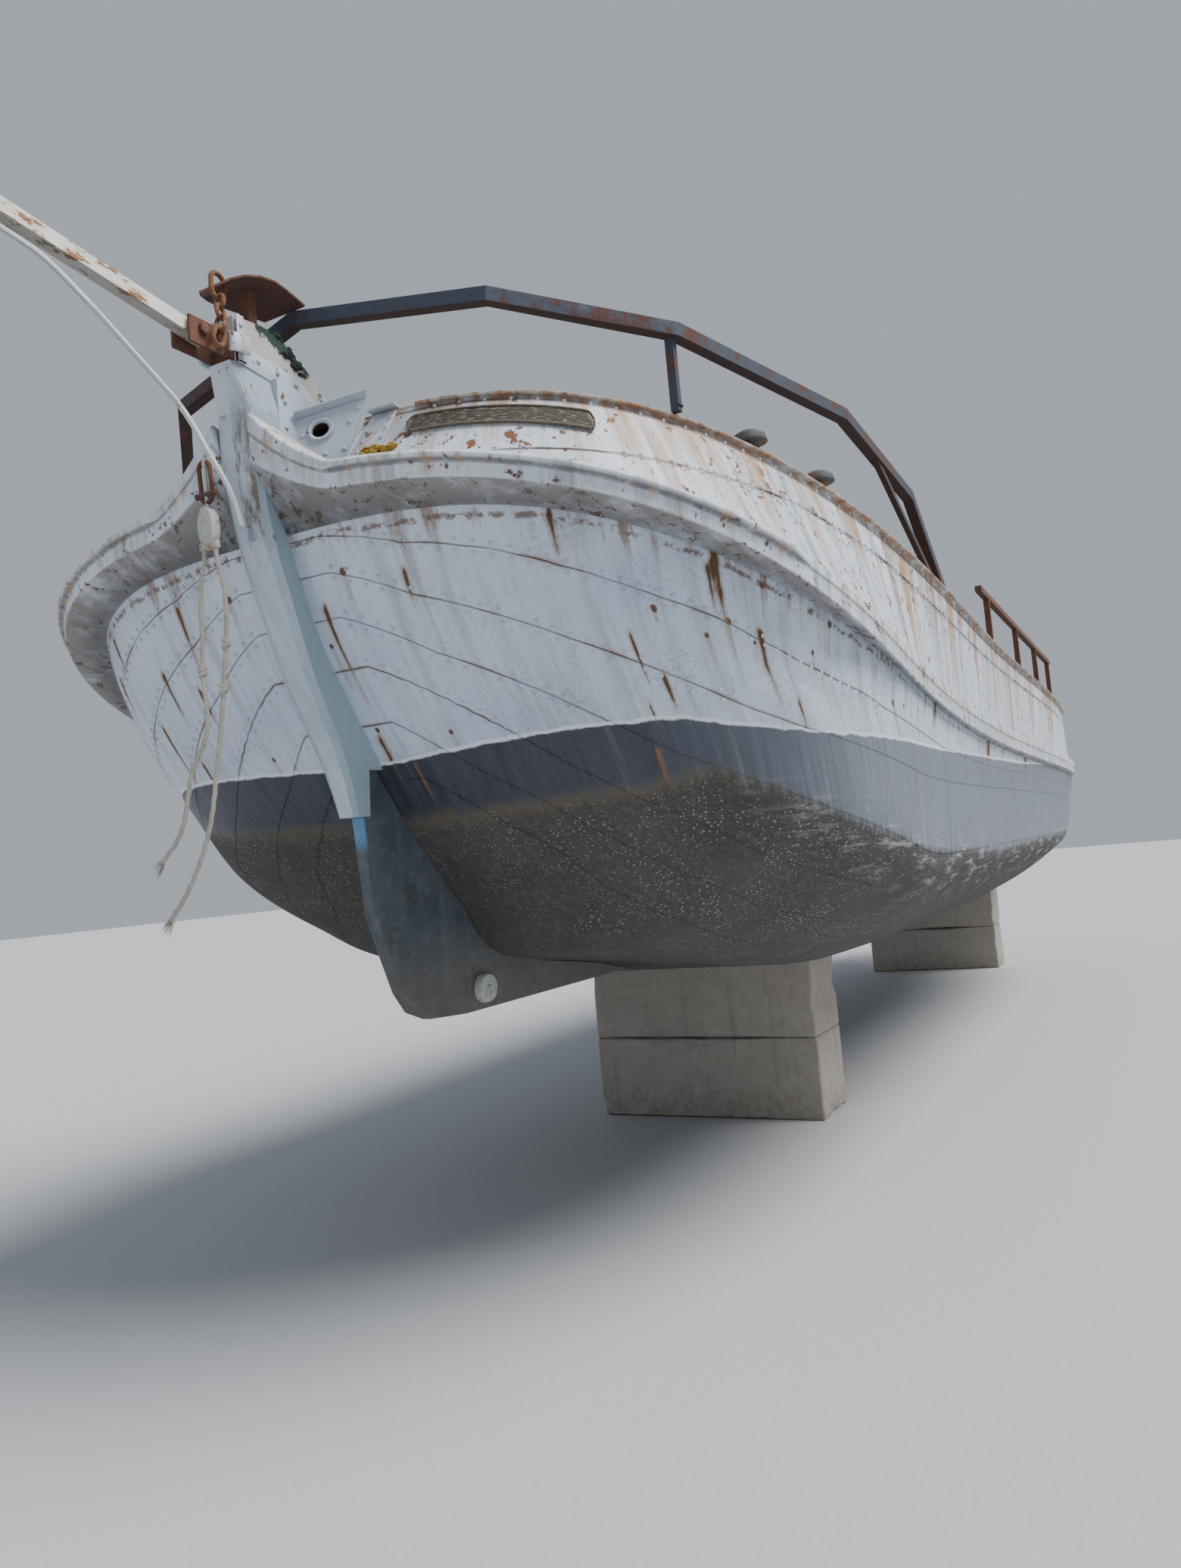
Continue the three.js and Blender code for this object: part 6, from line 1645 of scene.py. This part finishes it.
# Undersides are darkened to grey: painted shade.
colour = tint(spread(facing, -0.35, -0.85, 0, 0.7), colour, (0.07, 0.06, 0.06))
dress(shader, colour, spread(bare, 0, 1, 0.5, 0.92),
      minus(times(fine, 0.3), bare), 0.003)
paint_nodes(spar_finish, "bowsprit")
ease_nodes(0.005, "bowsprit")
stay = merged_copy("bobstay", "bowsprit_stay")
stay_finish, shader, place = new_finish("white_stay_paint")
facing = facing_of(place)[2]
wear = cloudy(place, 14, 6, 0.7)
colour = tint(wear, (0.7, 0.72, 0.74), (0.85, 0.86, 0.86))
colour = tint(spread(wear, 0.62, 0.68), colour, (0.35, 0.2, 0.11))
# Undersides are darkened to grey: painted shade.
colour = tint(spread(facing, -0.3, -0.8, 0, 0.6), colour, (0.1, 0.1, 0.11))
dress(shader, colour, 0.5, wear, 0.001)
put_on(stay, "bowsprit", "white_paint", stay_finish, "bobstay")
for side, sign in both_sides:
    nut = turned(f"pivot_nut_{side}", boat(0.22, sign * 0.0615, 4.21), 0.024, 0.018)
    put_on(nut, "barge", "rust", rust_finish)


# Tail block
# A cast block with an iron shackle hangs from a pin welded to the stem. Its shell is chalky grey
# metal, stained orange in patches.
block = merged_copy("rope_block", "tail_block", 0.003)
put_on(block, "barge", "zinc", zinc_finish, "rope_block")
shackle = chain_link("tail_block_shackle", boat(0.125, -0.08, 3.652), Vector((0, 0.06, -1)),
                     Vector((0, 1, 0)), 0.19, 0.03, 0.0095)
put_on(shackle, "barge", "rust", rust_finish)
pin = turned("tail_block_pin", boat(0.125, -0.08, 3.6), 0.012, 0.112, sides=20)
put_on(pin, "barge", "rust", rust_finish)


# Cap bitts, bollards and windlass
# Mushroom-headed bitts stand on the cap, and twin bollards on the decks. The windlass has cast
# cheeks, a plain drum, whipping ends and a pawl rim.
bitt_finish, shader, place = new_finish("black_bitt_paint", 0.1)
crust = cloudy(place, 34, 6, 0.7)
colour = tint(crust, (0.03, 0.032, 0.036), (0.11, 0.11, 0.115))
colour = tint(spread(cloudy(place, 12, 6, 0.7), 0.54, 0.6), colour, (0.2, 0.09, 0.045))
dress(shader, colour, 0.7, crust, 0.003)
for place_name in ("fore_cap_bitt", "after_cap_bitt"):
    for side, _ in both_sides:
        bitt = merged_copy(f"{place_name}_{side}", f"{place_name}_casting_{side}", 0.003, 60)
        put_on(bitt, "barge", "zinc", bitt_finish, f"{place_name}_{side}")
for place_name in ("fore_bollard", "aft_bollard"):
    for side, _ in both_sides:
        bollard = merged_copy(f"{place_name}_{side}", f"{place_name}_casting_{side}", 0.004, 35)
        put_on(bollard, "barge", "galvanised", galvanised_finish, f"{place_name}_{side}")
drum = merged_copy("windlass_drum", "windlass_barrel", 0.003, 35)
put_on(drum, "windlass_drum", "galvanised", galvanised_finish, "windlass_drum")
paint_nodes(galvanised_finish, "windlass_frame")
ease_nodes(0.004, "windlass_frame")
teeth = []
for k in range(16):
    turn = 2 * math.pi * k / 16
    tooth = sawn_block("tooth", (-0.013, -0.022, -0.012), (0.013, 0.022, 0.014))
    tooth.data.transform(Matrix.Rotation(turn, 4, "Y") @ Matrix.Translation((0, 0, 0.152)))
    tooth.data.transform(Matrix.Translation(boat(-2.05, 0.225, 3.42)))
    teeth.append(eased(tooth, 0.002))
put_on(join("windlass_pawl_rim", teeth), "windlass_drum", "galvanised", galvanised_finish)


# Hatch, tabernacle and cabin sides
# White-painted steel coamings and cabin sides stand on the deck, with flanged windows bolted in. The
# tabernacle's two cheeks are bolted through for the foot of the mast, which is gone.
cabin_finish, shader, place = new_finish("cabin_paint")
paint = weather(place, level_run(place), (0.7, 0.71, 0.7), (0.62, 0.64, 0.64), 0.7, 0.6, 0.4)
low_grime = parts_of(place)[2]
grime = times(spread(low_grime, 3.0, 2.75), spread(cloudy(place, 6, 6, 0.65), 0.35, 0.65))
colour = tint(times(grime, 0.6), paint["Colour"], (0.2, 0.2, 0.17))
dress(shader, colour, paint["Roughness"], paint["Height"], 0.002)
paint_nodes(cabin_finish, "hatch_coaming", "tabernacle", "hold_coaming", "deckhouse_walls")
ease_nodes(0.005, "hatch_coaming", "tabernacle")
for z in (3.3, 3.55, 3.7):
    bolt = turned(f"tabernacle_bolt_{round(z * 100)}", boat(-4.6, 0, z), 0.02, 0.39)
    put_on(bolt, "barge", "galvanised", galvanised_finish)

glass_dust_and_shade_finish, shader, place = new_finish("dusty_glass_on_painted_shade")
dust = cloudy(place, 9, 6, 0.65)
streaks = cloudy(stretched(level_run(place), (16, 1.5, 1)), 1.0, 5, 0.6)
# The pane is dark: painted shade for the unlit cabin behind the glass, with grey dust patches over it.
colour = tint(spread(dust, 0.4, 0.75), (0.02, 0.028, 0.032), (0.16, 0.17, 0.165))
dress(shader, colour, spread(streaks, 0.35, 0.7, 0.12, 0.5), dust, 0.0005)


# In edit mode, the faces that look along one axis: 0 fore and aft, 1 across
def pick_faces(piece, axis):
    bpy.ops.mesh.select_mode(type="FACE")
    bpy.ops.mesh.select_all(action="DESELECT")
    bpy.ops.object.mode_set(mode="OBJECT")
    for polygon in piece.data.polygons:
        polygon.select = abs(polygon.normal[axis]) > 0.9
    bpy.ops.object.mode_set(mode="EDIT")


window_places = [("hold", x, 1.4, 2.91, 3.09, 0.46) for x in (-6.1, -7.15, -8.15, -9.2)]
window_places += [("house", x, 1.25, 2.99, 3.23, 0.56) for x in (-11.25, -12.25)]
for name, x, half, low, high, wide in window_places:
    for side, sign in both_sides:
        face_y = sign * half
        frame_piece = sawn_block(f"{name}_window_frame_{side}_{round(-x * 100)}",
                                 boat(x - wide / 2 - 0.035, min(face_y, face_y + sign * 0.014), low - 0.035),
                                 boat(x + wide / 2 + 0.035, max(face_y, face_y + sign * 0.014), high + 0.035))
        take_up(frame_piece)
        corner = frame_piece.modifiers.new("round_corners", "BEVEL")
        corner.width = 0.045
        corner.segments = 5
        corner.limit_method = "WEIGHT"
        weights = frame_piece.data.attributes.new("bevel_weight_edge", "FLOAT", "EDGE")
        for edge in frame_piece.data.edges:
            a, b = (frame_piece.data.vertices[v].co for v in edge.vertices)
            weights.data[edge.index].value = 1.0 if abs(a.y - b.y) > 0.01 else 0.0
        bpy.ops.object.modifier_apply(modifier=corner.name)
        bpy.ops.object.mode_set(mode="EDIT")
        pick_faces(frame_piece, 1)
        bpy.ops.mesh.inset(thickness=0.034)
        bpy.ops.mesh.bridge_edge_loops()
        bpy.ops.object.mode_set(mode="OBJECT")
        put_on(eased(frame_piece, 0.003), "barge", "galvanised", galvanised_finish)
        pane = sawn_block(f"{name}_window_pane_{side}_{round(-x * 100)}",
                          boat(x - wide / 2 + 0.001, min(face_y - sign * 0.02, face_y - sign * 0.012),
                               low + 0.001),
                          boat(x + wide / 2 - 0.001, max(face_y - sign * 0.02, face_y - sign * 0.012),
                               high - 0.001))
        put_on(eased(pane, 0.001), "barge", "white_paint", glass_dust_and_shade_finish)
        heads = []
        for k in range(7):
            along = x - wide / 2 + wide * k / 6
            heads += [(boat(along, face_y + sign * 0.0135, z), Vector((0, sign, 0)))
                      for z in (low - 0.018, high + 0.018)]
        heads = rivets(f"{name}_window_screws_{side}_{round(-x * 100)}", heads, 0.006, 0.5)
        put_on(heads, "barge", "galvanised", galvanised_finish)


# Roofs, lid and slide
# Cambered steel roofs and the hatch lid wear the same faded green-grey deck paint as the deck. Wooden
# grab rails run along the cabin tops, and the slide has a hardwood pull.
paint_nodes(deck_finish, "hatch_lid", "hold_roof", "deckhouse_roof", "companion_slide")
ease_nodes(0.004, "hatch_lid", "companion_slide")
ease_nodes(0.006, "hold_roof")
for name, half_y, height, fore_x, aft_x, posts in (("hold", 1.05, 3.34, -5.8, -9.5, 6),
                                                   ("deckhouse", 1.0, 3.47, -10.8, -12.7, 4)):
    for side, sign in both_sides:
        rail = sawn_block(f"{name}_grab_rail_{side}", boat(aft_x, sign * half_y - 0.018, height + 0.055),
                          boat(fore_x, sign * half_y + 0.018, height + 0.088))
        put_on(eased(rail, 0.012, 3), "barge", "wood", tiller_finish)
        for k in range(posts):
            x = fore_x - 0.06 + (aft_x - fore_x + 0.12) * k / (posts - 1)
            foot = sawn_block(f"{name}_grab_foot_{side}_{k}",
                              boat(x - 0.045, sign * half_y - 0.016, height - 0.03),
                              boat(x + 0.045, sign * half_y + 0.016, height + 0.06))
            put_on(eased(foot, 0.01, 3), "barge", "wood", tiller_finish)
for side, y in (("starboard", -0.25), ("port", 0.25)):
    strap = sawn_block(f"hatch_strap_{side}", boat(-3.492, y - 0.025, 3.1604),
                       boat(-2.728, y + 0.025, 3.1664))
    put_on(eased(strap, 0.0015), "hatch_lid", "galvanised", galvanised_finish)
    heads = [(boat(-3.4 + 0.2 * k, y, 3.166), Vector((0, 0, 1))) for k in range(4)]
    heads = rivets(f"hatch_strap_bolts_{side}", heads, 0.009, 0.6)
    put_on(heads, "hatch_lid", "galvanised", galvanised_finish)
pull = sawn_block("slide_pull", boat(-12.97, -0.09, 3.603), boat(-12.93, 0.09, 3.632))
put_on(eased(pull, 0.008, 3), "companion_slide", "wood", tiller_finish)


# Companion doors
# Two narrow hardwood leaves, each with two sunk panels, hang on brass butts in the after end of the
# deckhouse. The varnish has gone grey at the foot.
door_finish, shader, place = new_finish("worn_varnish")
grain = cloudy(stretched(place, (45, 45, 2.4)), 1.0, 8, 0.68, 0.4)
height = parts_of(place)[2]
colour = tint(grain, (0.13, 0.055, 0.022), (0.4, 0.2, 0.085))
greyed = times(spread(height, 3.2, 2.86), spread(cloudy(place, 9, 6), 0.35, 0.6))
colour = tint(greyed, colour, (0.3, 0.27, 0.23))
dress(shader, colour, spread(greyed, 0, 1, 0.3, 0.8), grain, 0.0015)
for side, sign in both_sides:
    leaf = merged_copy(f"companion_door_{side}", f"panelled_door_{side}")
    take_up(leaf)
    edit_all()
    bpy.ops.mesh.bisect(plane_co=boat(-12.93, 0, 3.24), plane_no=(0, 0, 1))
    pick_faces(leaf, 0)
    bpy.ops.mesh.inset(thickness=0.045, use_individual=True)
    bpy.ops.mesh.inset(thickness=0.01, depth=-0.009, use_individual=True)
    bpy.ops.object.mode_set(mode="OBJECT")
    put_on(eased(leaf, 0.0015), f"companion_door_{side}", "wood", door_finish, f"companion_door_{side}")
    bpy.ops.mesh.primitive_uv_sphere_add(segments=20, ring_count=12, radius=0.02,
                                         location=boat(-12.975, sign * 0.025, 3.2))
    bpy.context.object.scale = (0.75, 1, 1)
    knob = settled(f"door_knob_{side}")
    bpy.ops.object.shade_smooth()
    put_on(knob, f"companion_door_{side}", "bronze", bronze_finish)


# Concrete blocks
# Each stack is two cast counterweight blocks with chamfered edges and chipped corners. Rain has
# streaked the faces, and the shuttering left pores.
concrete_finish, shader, place = new_finish("cast_concrete")
parts = parts_of(place)
broad = cloudy(place, 2.2, 6, 0.6)
mottle = cloudy(place, 14, 7, 0.7)
sand = cloudy(place, 160, 4, 0.75)
streak = cloudy(stretched(level_run(place), (10, 0.8, 1)), 1.0, 6, 0.62)
colour = tint(broad, (0.33, 0.295, 0.25), (0.5, 0.455, 0.4))
colour = tint(spread(mottle, 0.45, 0.7, 0, 0.4), colour, (0.25, 0.215, 0.175))
colour = tint(spread(streak, 0.55, 0.72, 0, 0.35), colour, (0.19, 0.17, 0.145))
colour = tint(spread(sand, 0.55, 0.75, 0, 0.5), colour, (0.55, 0.53, 0.5))
pores = specks(place, 38.0)
pores = times(spread(pores, 0.13, 0.08), spread(mottle, 0.48, 0.6))
colour = tint(pores, colour, (0.07, 0.065, 0.06))
splash = times(spread(parts[2], 0.28, 0.0), spread(mottle, 0.35, 0.65))
colour = tint(times(splash, 0.6), colour, (0.2, 0.165, 0.115))
relief = minus(plus(times(mottle, 0.5), times(sand, 0.25)), pores)
dress(shader, colour, 0.93, relief, 0.006)
for name in ("bow_block_lower", "bow_block_upper", "stern_block_lower", "stern_block_upper"):
    block = merged_copy(name, name.replace("block", "cast_block"))
    eased(block, 0.016, 2)
    take_up(block)
    edit_all()
    bpy.ops.mesh.quads_convert_to_tris()
    for _ in range(4):
        bpy.ops.mesh.select_all(action="DESELECT")
        bpy.ops.object.mode_set(mode="OBJECT")
        for edge in block.data.edges:
            a, b = (block.data.vertices[v].co for v in edge.vertices)
            edge.select = (a - b).length > 0.11
        bpy.ops.object.mode_set(mode="EDIT")
        bpy.ops.mesh.select_mode(type="EDGE")
        bpy.ops.mesh.subdivide(number_cuts=1)
    bpy.ops.object.mode_set(mode="OBJECT")
    low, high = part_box(name)
    for v in block.data.vertices:
        room = sorted(min(v.co[k] - low[k], high[k] - v.co[k]) for k in range(3))
        if room[1] < 0.03:
            bite = max(0.0, noise.noise(v.co * 5.3) - 0.18) * 0.05
            v.co += (Vector([(l + h) / 2 for l, h in zip(low, high)]) - v.co).normalized() * bite
    bpy.ops.object.shade_smooth_by_angle(angle=math.radians(40))
    put_on(block, "barge", "concrete", concrete_finish, name)


# Floor finish
# The ground is left plain and pale, and has only the faint mottle of swept gravel.
floor_finish, shader, place = new_finish("pale_ground")
gravel = cloudy(place, 26, 6, 0.7)
dress(shader, tint(gravel, (0.46, 0.47, 0.49), (0.5, 0.51, 0.53)), 0.95, gravel, 0.004)
ground.data.materials.append(floor_finish)
